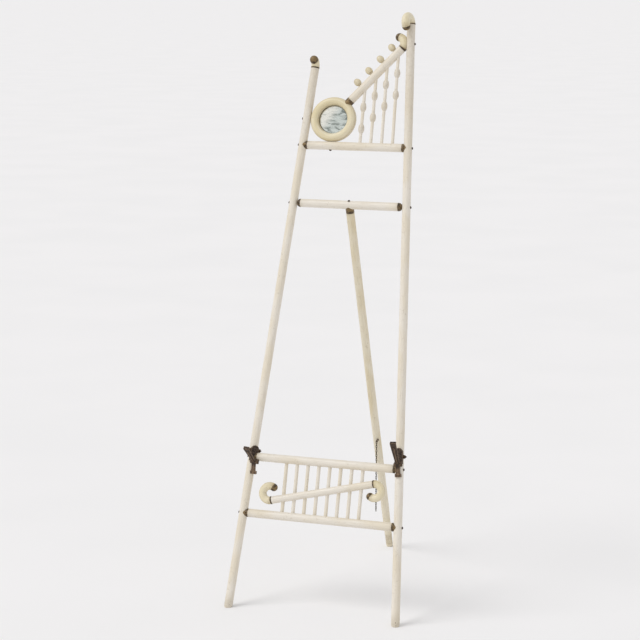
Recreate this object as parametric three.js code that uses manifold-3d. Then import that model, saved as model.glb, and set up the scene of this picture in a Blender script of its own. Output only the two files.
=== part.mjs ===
// Stick-and-ball display easel of painted round dowels: two splayed uprights that lean back, four
// cross rails, a round mirror, a fan of beaded spindles, a lower gallery of plain spindles crossed by
// a slim diagonal, crooks that curl off the rail ends, a rear leg that swings on the second rail, two
// folding cast picture rests and a stay chain that hangs from the rear leg.
//
// Millimetres, +Z up. The front frame is drawn flat, x to the viewer's right, z up along the frame
// and y to the back, and is then leaned back as one group.

import * as THREE from 'three';
import { mergeVertices } from 'three/addons/utils/BufferGeometryUtils.js';
import Module from 'manifold-3d';

const wasm = await Module();
wasm.setup();

// ---------------------------------------------------------------------------------------------
// Driving dimensions
// ---------------------------------------------------------------------------------------------

const degrees = THREE.MathUtils.degToRad;
const fitGap = 0.3;                    // air left between pieces that touch
const dowelSides = 24;                 // flats that stand for a round, by size of the round
const slimSides = 16;
const stickSides = 10;
const screwSides = 8;
const ringSides = 40;
const discSides = 24;
const knobSides = 12;

const leanBack = degrees(15.9);        // front frame, away from plumb
const footHalfSpread = 229.8;          // frame centre line to the middle of a front foot
const closing = 0.0673;                // how far an upright closes on the centre line per unit of height
const splay = Math.atan(closing);

const dowelRadius = 11.1;              // 7/8 inch stock: uprights, cross rails, upper diagonal, rear leg
const slimRadius = 9.8;                // lower diagonal
const spindleRadius = 4.7;             // lower gallery spindles
const beadedStickRadius = 4.2;         // stick between the beads of the upper spindles

const topRailHeight = 1235.7;          // all heights are measured up the leaning frame
const pivotRailHeight = 1079.1;
const lowerRailHeight = 398;
const bottomRailHeight = 249.5;
const leftUprightTop = 1444.3;
const rightUprightTop = 1566;

const rearFootDepth = 679;             // floor distance from the front feet to the rear foot
const rearLegTaperLength = 130;
const rearFootRadius = 9.8;

const ringOuterRadius = 62.7;
const ringShrinkage = 0.955;           // up the frame, across the grain of the old turning
const ringOpeningRadius = 39.7;
const ringHalfWidth = (ringOuterRadius - ringOpeningRadius) / 2;
const ringBack = 9;                    // flat back of the ring, behind the frame's middle plane
const rebateRadius = 43.4;
const rebateFront = 1.5;
const glassThickness = 3;
const glassFieldApothem = 30;          // flat middle of the eight-sided bevel
const bevelRun = 10;                   // sideways run of the bevel per millimetre of its depth

const upperDiagonalAngle = degrees(48);
const upperDiagonalAim = 74.1;         // the diagonal's axis crosses the ring's this far above the top rail
const upperDiagonalReach = 257.6;      // from that crossing to the collar, along the diagonal
const knobCount = 4;
const firstKnobReach = 112.4;
const knobPitch = 42.8;
const knobLength = 22.5;
const knobRadius = 9.3;

const upperSpindleCount = 4;
const upperSpindleFoot = 13;
const upperSpindleFootPitch = 30;
const upperSpindleHead = 13.4;
const upperSpindleHeadPitch = 27.9;
const beadRadius = 8.2;
const beadHalfLength = 12.2;
const beadDrops = [41, 99.3];          // bead centres below the diagonal's underside

const lowerSpindleCount = 8;
const lowerSpindlePitch = 30.1;
const socketDepth = 7;

const lowerDiagonalAngle = degrees(13.5);
const lowerDiagonalMiddle = 321.2;
const lowerDiagonalHalfLength = 139.8;

// Every crook: radius of the turning, straight neck, radius and sweep of the bend's centre line.
const crooks = {
  leftUpright: { tube: 11.1, neck: 2.5, bend: 17.2, sweep: degrees(82) },
  rightUpright: { tube: 11.1, neck: 0.5, bend: 17.2, sweep: degrees(218) },
  upperDiagonal: { tube: 11.1, neck: 0.5, bend: 19, sweep: degrees(117) },
  lowerLeft: { tube: 10.2, neck: 4.6, bend: 19, sweep: degrees(222) },
  lowerRight: { tube: 10.2, neck: 1.5, bend: 18.2, sweep: degrees(224) },
};
const uprightCrookTurn = degrees(3);   // outward from straight ahead
const upperCrookTurn = degrees(8);     // toward the back

const restHingeHeight = { left: 384.8, right: 409.7 };
const restTongueAngle = { left: degrees(67), right: degrees(50) };
const restSaddleTurn = { left: degrees(40), right: degrees(3) };  // round the upright, toward +x
const restArmTurn = { left: 0, right: degrees(3) };
const restBoltRise = { left: 30, right: 20.5 };
const restTongueLength = 79.5;
const restHingeStandOff = 19.9;        // hinge pin from the upright's axis
const strapThickness = 3.2;

const screwRadius = 1.7;
const screwHeadRadius = 3.5;
const boltRadius = 2.4;

const eyeDrop = 730;                   // stay chain's eye below the pivot, along the rear leg
const eyeTurn = degrees(13);           // round the leg from straight ahead, toward +x
const chainLength = 201;
const chainRadius = 2.3;

// ---------------------------------------------------------------------------------------------
// Materials
// ---------------------------------------------------------------------------------------------

const paint = (color) => new THREE.MeshStandardMaterial({ color, roughness: 0.55, metalness: 0 });
const metal = (color, roughness) => new THREE.MeshStandardMaterial({ color, roughness, metalness: 0.9 });

const ivoryPaint = paint(0xe0d8c8);
const agedPaint = paint(0xd8cba4);
const shadedPaint = paint(0xcdc3a3);
const boardWood = paint(0x8d7355);
const castBronze = metal(0x5f5044, 0.5);
const darkIron = metal(0x4a4238, 0.45);
const chainBrass = metal(0x6b5c42, 0.4);
const silvering = metal(0xd9dfdd, 0.08);

// ---------------------------------------------------------------------------------------------
// Shop tools: turning, bending, cutting and joining
// ---------------------------------------------------------------------------------------------

const along = new THREE.Vector3(0, 0, 1);

// A piece turned round +Z from [radius, height] pairs that run from the bottom up.
function turned(profile, sides = dowelSides) {
  const outline = profile.map(([radius, height]) => new THREE.Vector2(radius, height));
  return new THREE.LatheGeometry(outline, sides).rotateX(Math.PI / 2);
}

// Points of a quarter circle, for domes and rounded arrises.
function quarter(centreRadius, centreHeight, radius, steps, rise = 1) {
  return Array.from({ length: steps }, (_, i) => {
    const turn = ((i + 1) / steps) * (Math.PI / 2);
    return [centreRadius + radius * Math.cos(turn), centreHeight + rise * radius * Math.sin(turn)];
  });
}

function solidOf(geometry) {
  const bare = geometry.clone();
  bare.deleteAttribute('normal');
  bare.deleteAttribute('uv');
  const merged = mergeVertices(bare, 1e-4);
  return new wasm.Manifold(new wasm.Mesh({
    numProp: 3,
    vertProperties: new Float32Array(merged.attributes.position.array),
    triVerts: new Uint32Array(merged.index.array),
  }));
}

function geometryOf(solid) {
  const { vertProperties, triVerts } = solid.getMesh();
  const geometry = new THREE.BufferGeometry();
  geometry.setAttribute('position', new THREE.BufferAttribute(Float32Array.from(vertProperties), 3));
  geometry.setIndex(new THREE.BufferAttribute(Uint32Array.from(triVerts), 1));
  geometry.computeVertexNormals();
  return geometry;
}

function joined(...geometries) {
  return geometryOf(geometries.map(solidOf).reduce((whole, next) => whole.add(next)));
}

// Notes the tools that a piece is to be cut with, each where it stands in the assembly.
const cuts = new Map();
function machine(target, ...tools) {
  cuts.set(target, [...(cuts.get(target) ?? []), ...tools]);
}

// Makes all the noted cuts, one piece after the other.
function makeCuts() {
  for (const [target, tools] of cuts) {
    target.updateWorldMatrix(true, false);
    const toTarget = target.matrixWorld.clone().invert();
    const left = tools.reduce((whole, tool) => {
      const moved = tool.geometry.clone().applyMatrix4(toTarget.clone().multiply(tool.matrixWorld));
      return whole.subtract(solidOf(moved));
    }, solidOf(target.geometry));
    target.geometry = geometryOf(left);
  }
}

// Frees a tool from its parent and leaves it standing where it was.
function standing(tool) {
  tool.updateWorldMatrix(true, false);
  tool.removeFromParent();
  tool.matrixAutoUpdate = false;
  tool.matrixWorldAutoUpdate = false;
  return tool;
}

function aim(object, start, direction) {
  object.position.copy(start);
  object.quaternion.setFromUnitVectors(along, direction.clone().normalize());
  return object;
}

// A cutter on the line between two points of a group: a drill, or the dowel that a cope fits.
function drill(parent, start, end, radius, sides = stickSides) {
  const length = start.distanceTo(end);
  const tool = new THREE.Mesh(turned([[0, 0], [radius, 0], [radius, length], [0, length]], sides));
  parent.add(aim(tool, start, end.clone().sub(start)));
  return standing(tool);
}

function place(parent, name, geometry, material) {
  const mesh = new THREE.Mesh(geometry, material);
  mesh.name = name;
  parent.add(mesh);
  return mesh;
}

// Curls a straight turned piece toward its own +y, from the height where its neck ends.
function bent(geometry, neck, radius, sweep) {
  const places = geometry.attributes.position;
  const point = new THREE.Vector3();
  for (let i = 0; i < places.count; i += 1) {
    point.fromBufferAttribute(places, i);
    const beyond = point.z - neck;
    if (beyond > 0) {
      const turn = Math.min(beyond / radius, sweep);
      const straight = beyond - turn * radius;
      const arm = radius - point.y;
      point.y = radius - arm * Math.cos(turn) + straight * Math.sin(turn);
      point.z = neck + arm * Math.sin(turn) + straight * Math.cos(turn);
      places.setXYZ(i, point.x, point.y, point.z);
    }
  }
  geometry.computeVertexNormals();
  return geometry;
}

// ---------------------------------------------------------------------------------------------
// The leaning front frame and its measuring lines
// ---------------------------------------------------------------------------------------------

const easel = new THREE.Group();
const frame = new THREE.Group();
frame.rotation.x = -leanBack;
easel.add(frame);

const at = (x, z, y = 0) => new THREE.Vector3(x, y, z);
const uprightX = (height) => footHalfSpread - closing * height;
const uprightFace = dowelRadius / Math.cos(splay);
const sides = { left: -1, right: 1 };

const collared = dowelRadius + 0.45;
const spigotRadius = 5;
const spigotLength = 11.5;

function uprightGeometry(length) {
  const wornRadius = 9.9;
  const wornHeight = 7;
  return turned([
    [0, -12], [wornRadius, -12], [wornRadius, 0], [dowelRadius, wornHeight], [dowelRadius, length],
    [spigotRadius + fitGap, length], [spigotRadius + fitGap, length - spigotLength - 1],
    [0, length - spigotLength - 1],
  ]);
}

// A crook: spigot, collar bead, curled shaft, a scribed line and a domed tip.
function crookGeometry({ tube, neck, bend, sweep }) {
  const shaftEnd = neck + bend * sweep;
  const shaftStart = Math.max(neck, 3.6);
  const ringSteps = Math.round(sweep / degrees(18));
  const shaft = Array.from({ length: ringSteps + 1 }, (_, i) => (
    [tube, shaftStart + (shaftEnd - shaftStart) * (i / ringSteps)]
  ));
  const bead = tube + 0.45;
  const straight = turned([
    [0, -spigotLength], [spigotRadius, -spigotLength], [spigotRadius, fitGap],
    [tube - 0.4, fitGap], [bead, 1.2], [bead, 3.2],
    ...shaft,
    [tube - 0.5, shaftEnd + 0.7], [tube, shaftEnd + 1.4],
    ...quarter(0, shaftEnd + 1.4, tube, 4),
  ], slimSides);
  return bent(straight, neck, bend, sweep);
}

// Levels a foot: everything below the floor is taken off.
function floorTool(x, y = 0) {
  const tool = new THREE.Mesh(new THREE.BoxGeometry(120, 120, 60));
  tool.position.set(x, y, -30);
  easel.add(tool);
  return standing(tool);
}

const uprights = {};
const uprightAxes = {};

for (const [side, sign] of Object.entries(sides)) {
  const axis = new THREE.Group();
  axis.position.set(sign * footHalfSpread, 0, 0);
  axis.rotation.y = -sign * splay;
  frame.add(axis);
  uprightAxes[side] = axis;
  const length = (side === 'left' ? leftUprightTop : rightUprightTop) / Math.cos(splay);
  uprights[side] = place(axis, `${side}_upright`, uprightGeometry(length), ivoryPaint);
  machine(uprights[side], floorTool(sign * footHalfSpread));
  const crook = place(axis, `${side}_upright_crook`, crookGeometry(crooks[`${side}Upright`]), agedPaint);
  crook.position.z = length;
  crook.rotation.z = Math.PI + sign * uprightCrookTurn;
}

const uprightCutters = Object.keys(sides).map((side) => (
  drill(uprightAxes[side], at(0, -20), at(0, 1600), dowelRadius + fitGap, dowelSides)
));

// ---------------------------------------------------------------------------------------------
// Fixed cross rails, coped over the uprights
// ---------------------------------------------------------------------------------------------

function copedRail(name, height) {
  const reach = uprightX(height);
  const rail = place(frame, name, turned([
    [0, 0], [dowelRadius, 0], [dowelRadius, 2 * reach], [0, 2 * reach],
  ]), ivoryPaint);
  aim(rail, at(-reach, height), at(1, 0));
  machine(rail, ...uprightCutters);
  return rail;
}

const topRail = copedRail('top_rail', topRailHeight);
const lowerRail = copedRail('lower_rail', lowerRailHeight);
const bottomRail = copedRail('bottom_rail', bottomRailHeight);

// ---------------------------------------------------------------------------------------------
// Mirror
// ---------------------------------------------------------------------------------------------

const ringHeight = topRailHeight + dowelRadius + ringOuterRadius * ringShrinkage + fitGap;
const ringX = -(uprightX(ringHeight) - (dowelRadius + ringOuterRadius + fitGap) / Math.cos(splay));
const ringCentre = at(ringX, ringHeight);

// The ring's rounded face from its outer edge inward, through the given turn.
function ringCrown(halfWidth, sweep, steps) {
  return Array.from({ length: steps + 1 }, (_, i) => {
    const turn = (i / steps) * sweep;
    return [ringOuterRadius - ringHalfWidth + halfWidth * Math.cos(turn), halfWidth * Math.sin(turn)];
  });
}

function ringGeometry() {
  const crown = ringCrown(ringHalfWidth, Math.PI, 9);
  return turned([
    [rebateRadius, -ringBack], [ringOuterRadius - 2.5, -ringBack], [ringOuterRadius, 2.5 - ringBack],
    ...crown,
    [ringOpeningRadius, -rebateFront], [rebateRadius, -rebateFront], [rebateRadius, -ringBack],
  ], ringSides);
}

const mirror = new THREE.Group();
mirror.position.copy(ringCentre);
mirror.rotation.x = Math.PI / 2;
mirror.scale.y = ringShrinkage;
frame.add(mirror);

const ring = place(mirror, 'mirror_ring', ringGeometry(), agedPaint);

function bevelledGlass() {
  const radius = rebateRadius - fitGap;
  const back = -rebateFront - fitGap - glassThickness;
  const blank = turned([[0, back], [radius, back], [radius, back + glassThickness],
    [0, back + glassThickness]], discSides);
  const corner = 1 / Math.cos(Math.PI / 8);
  const bevel = turned([
    [0, back - 1], [(glassFieldApothem + bevelRun * (glassThickness + 1)) * corner, back - 1],
    [glassFieldApothem * corner, back + glassThickness], [0, back + glassThickness],
  ], 8).rotateZ(Math.PI / 8);
  return geometryOf(solidOf(blank).intersect(solidOf(bevel)));
}

place(mirror, 'mirror_glass', bevelledGlass(), silvering);

const boardFront = -rebateFront - glassThickness - 2 * fitGap;
place(mirror, 'mirror_backboard', turned([
  [0, fitGap - ringBack], [rebateRadius - 1, fitGap - ringBack], [rebateRadius - fitGap, 1 - ringBack],
  [rebateRadius - fitGap, boardFront], [0, boardFront],
], discSides), boardWood);

// ---------------------------------------------------------------------------------------------
// Upper panel: diagonal, crook, knobs and beaded spindles
// ---------------------------------------------------------------------------------------------

const diagonalWay = at(Math.cos(upperDiagonalAngle), Math.sin(upperDiagonalAngle));
const diagonalUp = at(-Math.sin(upperDiagonalAngle), Math.cos(upperDiagonalAngle));
const diagonalCrossing = at(ringX, topRailHeight + upperDiagonalAim);
const onDiagonal = (reach, off = 0) => diagonalCrossing.clone()
  .addScaledVector(diagonalWay, reach).addScaledVector(diagonalUp, off);

const diagonalStart = ringOuterRadius - ringHalfWidth;
const diagonalLength = upperDiagonalReach - diagonalStart;
const upperDiagonal = place(frame, 'upper_diagonal_rail', turned([
  [0, 0], [dowelRadius, 0], [dowelRadius, diagonalLength],
  [spigotRadius + fitGap, diagonalLength], [spigotRadius + fitGap, diagonalLength - spigotLength - 1],
  [0, diagonalLength - spigotLength - 1],
]), ivoryPaint);
aim(upperDiagonal, onDiagonal(diagonalStart), diagonalWay);

// The diagonal's end is hollowed to the outside of the ring, as though the ring were a full disc.
const ringCopeHalf = ringHalfWidth + 1.5 * fitGap;
const ringCope = new THREE.Mesh(turned([
  [0, -2 * ringBack], [ringOuterRadius - ringHalfWidth + ringCopeHalf, -2 * ringBack],
  ...ringCrown(ringCopeHalf, Math.PI / 2, 6), [0, ringCopeHalf],
], 2 * ringSides));
mirror.add(ringCope);
machine(upperDiagonal, standing(ringCope));

// The crook leaves the diagonal's end, curls up and over to the left and a little to the back.
const upperCrook = place(frame, 'upper_diagonal_crook', crookGeometry(crooks.upperDiagonal), agedPaint);
const crookSide = diagonalUp.clone().multiplyScalar(Math.cos(upperCrookTurn))
  .add(new THREE.Vector3(0, Math.sin(upperCrookTurn), 0));
upperCrook.position.copy(onDiagonal(upperDiagonalReach));
upperCrook.quaternion.setFromRotationMatrix(new THREE.Matrix4().makeBasis(
  crookSide.clone().cross(diagonalWay), crookSide, diagonalWay,
));
machine(upperCrook, uprightCutters[1]);

for (let i = 0; i < knobCount; i += 1) {
  const pinRadius = 2.6;
  const pinLength = 7;
  const shoulder = 5.4;
  const reach = firstKnobReach + knobPitch * i;
  const middle = dowelRadius + knobLength / 2;
  const swellSteps = 6;
  const swell = Array.from({ length: swellSteps + 1 }, (_, step) => {
    const turn = degrees(-54 + 144 * (step / swellSteps));
    return [Math.max(knobRadius * Math.cos(turn), 0), middle + (knobLength / 2) * Math.sin(turn)];
  });
  const knob = place(frame, `knob_${i + 1}`, turned([
    [0, dowelRadius - pinLength], [pinRadius, dowelRadius - pinLength], [pinRadius, dowelRadius + fitGap],
    [shoulder, dowelRadius + fitGap], ...swell,
  ], knobSides), agedPaint);
  aim(knob, onDiagonal(reach), diagonalUp);
  machine(upperDiagonal, drill(frame, onDiagonal(reach, 3), onDiagonal(reach, 14), pinRadius + fitGap));
}

const diagonalSlope = Math.tan(upperDiagonalAngle);
const diagonalHeight = (x) => diagonalCrossing.z + (x - diagonalCrossing.x) * diagonalSlope;
const undersideDrop = dowelRadius / Math.cos(upperDiagonalAngle);

for (let i = 0; i < upperSpindleCount; i += 1) {
  const foot = at(upperSpindleFoot + upperSpindleFootPitch * i, topRailHeight + dowelRadius);
  const headX = upperSpindleHead + upperSpindleHeadPitch * i;
  const head = at(headX, diagonalHeight(headX) - undersideDrop);
  const way = head.clone().sub(foot);
  const length = way.length();
  way.normalize();
  const beadAngle = Math.acos(beadedStickRadius / beadRadius);
  const bead = (drop) => Array.from({ length: 6 }, (_, step) => {
    const turn = beadAngle * (step / 2.5 - 1);
    return [beadRadius * Math.cos(turn), length - drop + beadHalfLength * (Math.sin(turn) / Math.sin(beadAngle))];
  });
  const spindle = place(frame, `upper_spindle_${i + 1}`, turned([
    [0, -socketDepth], [beadedStickRadius, -socketDepth],
    ...bead(beadDrops[1]), ...bead(beadDrops[0]),
    [beadedStickRadius, length + socketDepth], [0, length + socketDepth],
  ], stickSides), ivoryPaint);
  aim(spindle, foot, way);
  const footEnd = foot.clone().addScaledVector(way, -socketDepth - 1);
  const headEnd = head.clone().addScaledVector(way, socketDepth + 1);
  const middle = foot.clone().lerp(head, 0.5);
  const socket = beadedStickRadius + fitGap;
  machine(topRail, drill(frame, footEnd, middle, socket));
  machine(upperDiagonal, drill(frame, middle, headEnd, socket));
}

// ---------------------------------------------------------------------------------------------
// Lower gallery: spindles through a slim diagonal with a crook at each end
// ---------------------------------------------------------------------------------------------

const slopeWay = at(Math.cos(lowerDiagonalAngle), Math.sin(lowerDiagonalAngle));
const slopeUp = at(-Math.sin(lowerDiagonalAngle), Math.cos(lowerDiagonalAngle));
const slopeMiddle = at(0, lowerDiagonalMiddle);
const slopeEnd = (sign) => slopeMiddle.clone().addScaledVector(slopeWay, sign * lowerDiagonalHalfLength);

const lowerDiagonal = place(frame, 'lower_diagonal_rail', turned([
  [0, spigotLength + 1], [spigotRadius + fitGap, spigotLength + 1], [spigotRadius + fitGap, 0],
  [slimRadius, 0], [slimRadius, 2 * lowerDiagonalHalfLength],
  [spigotRadius + fitGap, 2 * lowerDiagonalHalfLength],
  [spigotRadius + fitGap, 2 * lowerDiagonalHalfLength - spigotLength - 1],
  [0, 2 * lowerDiagonalHalfLength - spigotLength - 1],
], slimSides), ivoryPaint);
aim(lowerDiagonal, slopeEnd(-1), slopeWay);

for (const [side, sign] of Object.entries(sides)) {
  const shape = sign < 0 ? crooks.lowerLeft : crooks.lowerRight;
  const crook = place(frame, `lower_diagonal_crook_${side}`, crookGeometry(shape), agedPaint);
  const way = slopeWay.clone().multiplyScalar(sign);
  const curl = slopeUp.clone().multiplyScalar(-sign);
  crook.position.copy(slopeEnd(sign));
  crook.quaternion.setFromRotationMatrix(new THREE.Matrix4().makeBasis(curl.clone().cross(way), curl, way));
}

for (let i = 0; i < lowerSpindleCount; i += 1) {
  const x = (i - (lowerSpindleCount - 1) / 2) * lowerSpindlePitch;
  const bottom = bottomRailHeight + dowelRadius - socketDepth;
  const top = lowerRailHeight - dowelRadius + socketDepth;
  const spindle = place(frame, `lower_spindle_${i + 1}`, turned([
    [0, 0], [spindleRadius - 0.8, 0], [spindleRadius, 1.2], [spindleRadius, top - bottom - 1.2],
    [spindleRadius - 0.8, top - bottom], [0, top - bottom],
  ], stickSides), ivoryPaint);
  spindle.position.set(x, 0, bottom);
  const bore = drill(frame, at(x, bottom - 1), at(x, top + 1), spindleRadius + fitGap);
  machine(bottomRail, bore);
  machine(lowerRail, bore);
  machine(lowerDiagonal, bore);
}

// ---------------------------------------------------------------------------------------------
// Rear leg assembly: pivot rail, leg, chain eye and chain
// ---------------------------------------------------------------------------------------------

const pivotReach = uprightX(pivotRailHeight) - uprightFace - 0.5;
const tipLength = 9;
const pivotTip = [[dowelRadius - 1, 2.4], [dowelRadius - 3.2, 1], [dowelRadius - 6.4, 0]];
const pivotRail = place(frame, 'pivot_rail', turned([
  [0, 0], [pivotTip[2][0], 0], [pivotTip[1][0], 1.6], [pivotTip[0][0], 4.6], [dowelRadius, tipLength],
  [dowelRadius, 2 * pivotReach - tipLength], [pivotTip[0][0], 2 * pivotReach - 4.6],
  [pivotTip[1][0], 2 * pivotReach - 1.6], [pivotTip[2][0], 2 * pivotReach], [0, 2 * pivotReach],
]), ivoryPaint);
aim(pivotRail, at(-pivotReach, pivotRailHeight), at(1, 0));

const pivotDepth = pivotRailHeight * Math.sin(leanBack);
const pivotRise = pivotRailHeight * Math.cos(leanBack);
const legLean = Math.atan2(rearFootDepth - pivotDepth, pivotRise);
const legLength = Math.hypot(rearFootDepth - pivotDepth, pivotRise);

const legAxis = new THREE.Group();
legAxis.position.set(0, pivotDepth, pivotRise);
legAxis.rotation.x = legLean;
easel.add(legAxis);

const grooveHeight = 15;
const rearLeg = place(legAxis, 'rear_leg', turned([
  [0, -legLength - 12], [rearFootRadius - 1.6, -legLength - 12], [rearFootRadius - 1.6, -legLength + 1],
  [rearFootRadius - 0.3, -legLength + 6], [rearFootRadius, -legLength + grooveHeight - 1.4],
  [rearFootRadius - 0.9, -legLength + grooveHeight], [rearFootRadius, -legLength + grooveHeight + 1.4],
  [dowelRadius, -legLength + rearLegTaperLength], [dowelRadius, 0], [0, 0],
]), shadedPaint);
machine(
  rearLeg,
  drill(frame, at(-30, pivotRailHeight), at(30, pivotRailHeight), dowelRadius + fitGap, dowelSides),
  floorTool(0, rearFootDepth),
);

// ---------------------------------------------------------------------------------------------
// Round-head screws
// ---------------------------------------------------------------------------------------------

// Drives a screw from under its head along a direction, and bores every piece that it passes.
function drive(parent, name, start, way, length, bored) {
  const headHeight = 2.3;
  const screw = place(parent, name, turned([
    [0, -headHeight], [screwHeadRadius * 0.55, -headHeight * 0.88], [screwHeadRadius * 0.88, -headHeight * 0.5],
    [screwHeadRadius, 0], [screwRadius, 0], [screwRadius, length - 3], [0, length],
  ], screwSides), darkIron);
  aim(screw, start, way);
  const end = start.clone().addScaledVector(way, length + 1);
  const bore = drill(parent, start.clone().addScaledVector(way, -0.2), end, screwRadius + fitGap, screwSides);
  bored.forEach((piece) => machine(piece, bore));
  return screw;
}

const headStandOff = 0.45;
const railScrewLength = 44;

function driveSideways(name, side, height, length, bored) {
  const sign = sides[side];
  const start = at(sign * (uprightX(height) + uprightFace + headStandOff), height);
  return drive(frame, name, start, at(-sign, 0), length, [uprights[side], ...bored]);
}

for (const side of Object.keys(sides)) {
  driveSideways(`top_rail_screw_${side}`, side, topRailHeight, railScrewLength, [topRail]);
  driveSideways(`lower_rail_screw_${side}`, side, lowerRailHeight, railScrewLength, [lowerRail]);
  driveSideways(`bottom_rail_screw_${side}`, side, bottomRailHeight, railScrewLength, [bottomRail]);
  driveSideways(`pivot_screw_${side}`, side, pivotRailHeight, railScrewLength, [pivotRail]);
}
driveSideways('mirror_side_screw', 'left', ringHeight, 36, [ring]);
driveSideways('upper_crook_screw', 'right', 1514.3, 31, [upperCrook]);
drive(
  frame, 'mirror_bottom_screw', at(ringX, topRailHeight - dowelRadius - headStandOff), at(0, 1), 37,
  [topRail, ring],
);
drive(
  legAxis, 'rear_leg_screw', at(0, dowelRadius + headStandOff), at(0, -1), 54, [pivotRail, rearLeg],
);

// ---------------------------------------------------------------------------------------------
// Picture rests: a saddle plate bolted to each upright, and a hinged arm with a tongue and a tail
// ---------------------------------------------------------------------------------------------

const plateHalfWidth = 10.4;
const plateBottom = 2;
const plateTop = 43;
const plateBack = 2;
const plateFront = 14.6;
const boltStandOff = 7;
const bossFace = 11.3;                 // round bosses that the bolt's head and nut bear on
const bossRadius = 5.6;
const lugInner = 6.4;
const lugOuter = 9.8;
const lugRadius = 4.9;
const pinRadius = 2;
const pinHead = 3.2;

// Outline drawn in x and z, pushed out from one distance in front of the upright's axis to another.
function slab(outline, backFace, frontFace) {
  return new THREE.ExtrudeGeometry(outline, { depth: frontFace - backFace, bevelEnabled: false, curveSegments: 8 })
    .rotateX(Math.PI / 2).translate(0, -backFace, 0);
}

function block(x0, x1, front0, front1, z0, z1) {
  return new THREE.BoxGeometry(x1 - x0, front1 - front0, z1 - z0)
    .translate((x0 + x1) / 2, -(front0 + front1) / 2, (z0 + z1) / 2);
}

// A round bar or barrel across the upright.
function crossBar(radius, x0, x1, front, z, sidesRound = 16) {
  return turned([[0, x0], [radius, x0], [radius, x1], [0, x1]], sidesRound)
    .rotateY(Math.PI / 2).translate(0, -front, z);
}

// The saddle is drawn on the upright's axis and the hinge lugs on the pin's; toHinge moves the one
// drawing into the other's place.
function plateGeometry(toHinge, boltRise) {
  const outline = new THREE.Shape();
  outline.moveTo(-plateHalfWidth, plateBottom);
  outline.lineTo(plateHalfWidth, plateBottom);
  outline.lineTo(plateHalfWidth, plateTop - plateHalfWidth);
  outline.absarc(0, plateTop - plateHalfWidth, plateHalfWidth, 0, Math.PI, false);
  outline.closePath();
  const lugs = [-1, 1].flatMap((sign) => {
    const [x0, x1] = sign < 0 ? [-lugOuter, -lugInner] : [lugInner, lugOuter];
    return [crossBar(lugRadius, x0, x1, 0, 0), block(x0, x1, -8, 0, -lugRadius, lugRadius + 2)];
  });
  const bridge = block(-lugOuter, lugOuter, -11, -lugRadius - fitGap, -lugRadius, lugRadius + 5);
  const shell = joined(
    slab(outline, plateBack, plateFront),
    crossBar(bossRadius, -bossFace, bossFace, boltStandOff, boltRise),
  );
  return joined(shell.applyMatrix4(toHinge), bridge, ...lugs);
}

// Plan of a strap that flares from the barrel to its far end, with eased corners.
function strapOutline(nearHalf, farHalf, length, corner) {
  const outline = new THREE.Shape();
  outline.moveTo(-nearHalf, 0);
  outline.lineTo(nearHalf, 0);
  outline.lineTo(farHalf, length - corner);
  outline.quadraticCurveTo(farHalf, length, farHalf - corner, length);
  outline.lineTo(corner - farHalf, length);
  outline.quadraticCurveTo(-farHalf, length, -farHalf, length - corner);
  outline.closePath();
  return outline;
}

function armGeometry(tongueAngle) {
  const barrelHalf = lugInner - 0.4;
  const barrel = crossBar(lugRadius, -barrelHalf, barrelHalf, 0, 0);
  const strap = (outline) => slab(outline, -strapThickness / 2, strapThickness / 2);
  const rib = block(-1.6, 1.6, strapThickness / 2 - 0.2, strapThickness / 2 + 2, 4, restTongueLength - 16);
  const lip = block(-8, 8, -strapThickness / 2 - 4.6, strapThickness / 2, restTongueLength - 3.4, restTongueLength);
  const tongue = joined(strap(strapOutline(5.6, 8.3, restTongueLength, 2)), lip, rib).rotateX(tongueAngle);
  const tailLength = 31;
  const tailTurn = degrees(180 - 12);
  const footPad = block(-8.4, 8.4, -5.4, 2.2, tailLength - 6.5, tailLength + 1.5).rotateZ(Math.PI);
  const tail = joined(strap(strapOutline(5.4, 6.2, tailLength, 1)), footPad).rotateX(-tailTurn);
  return joined(barrel, tongue, tail);
}

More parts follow.
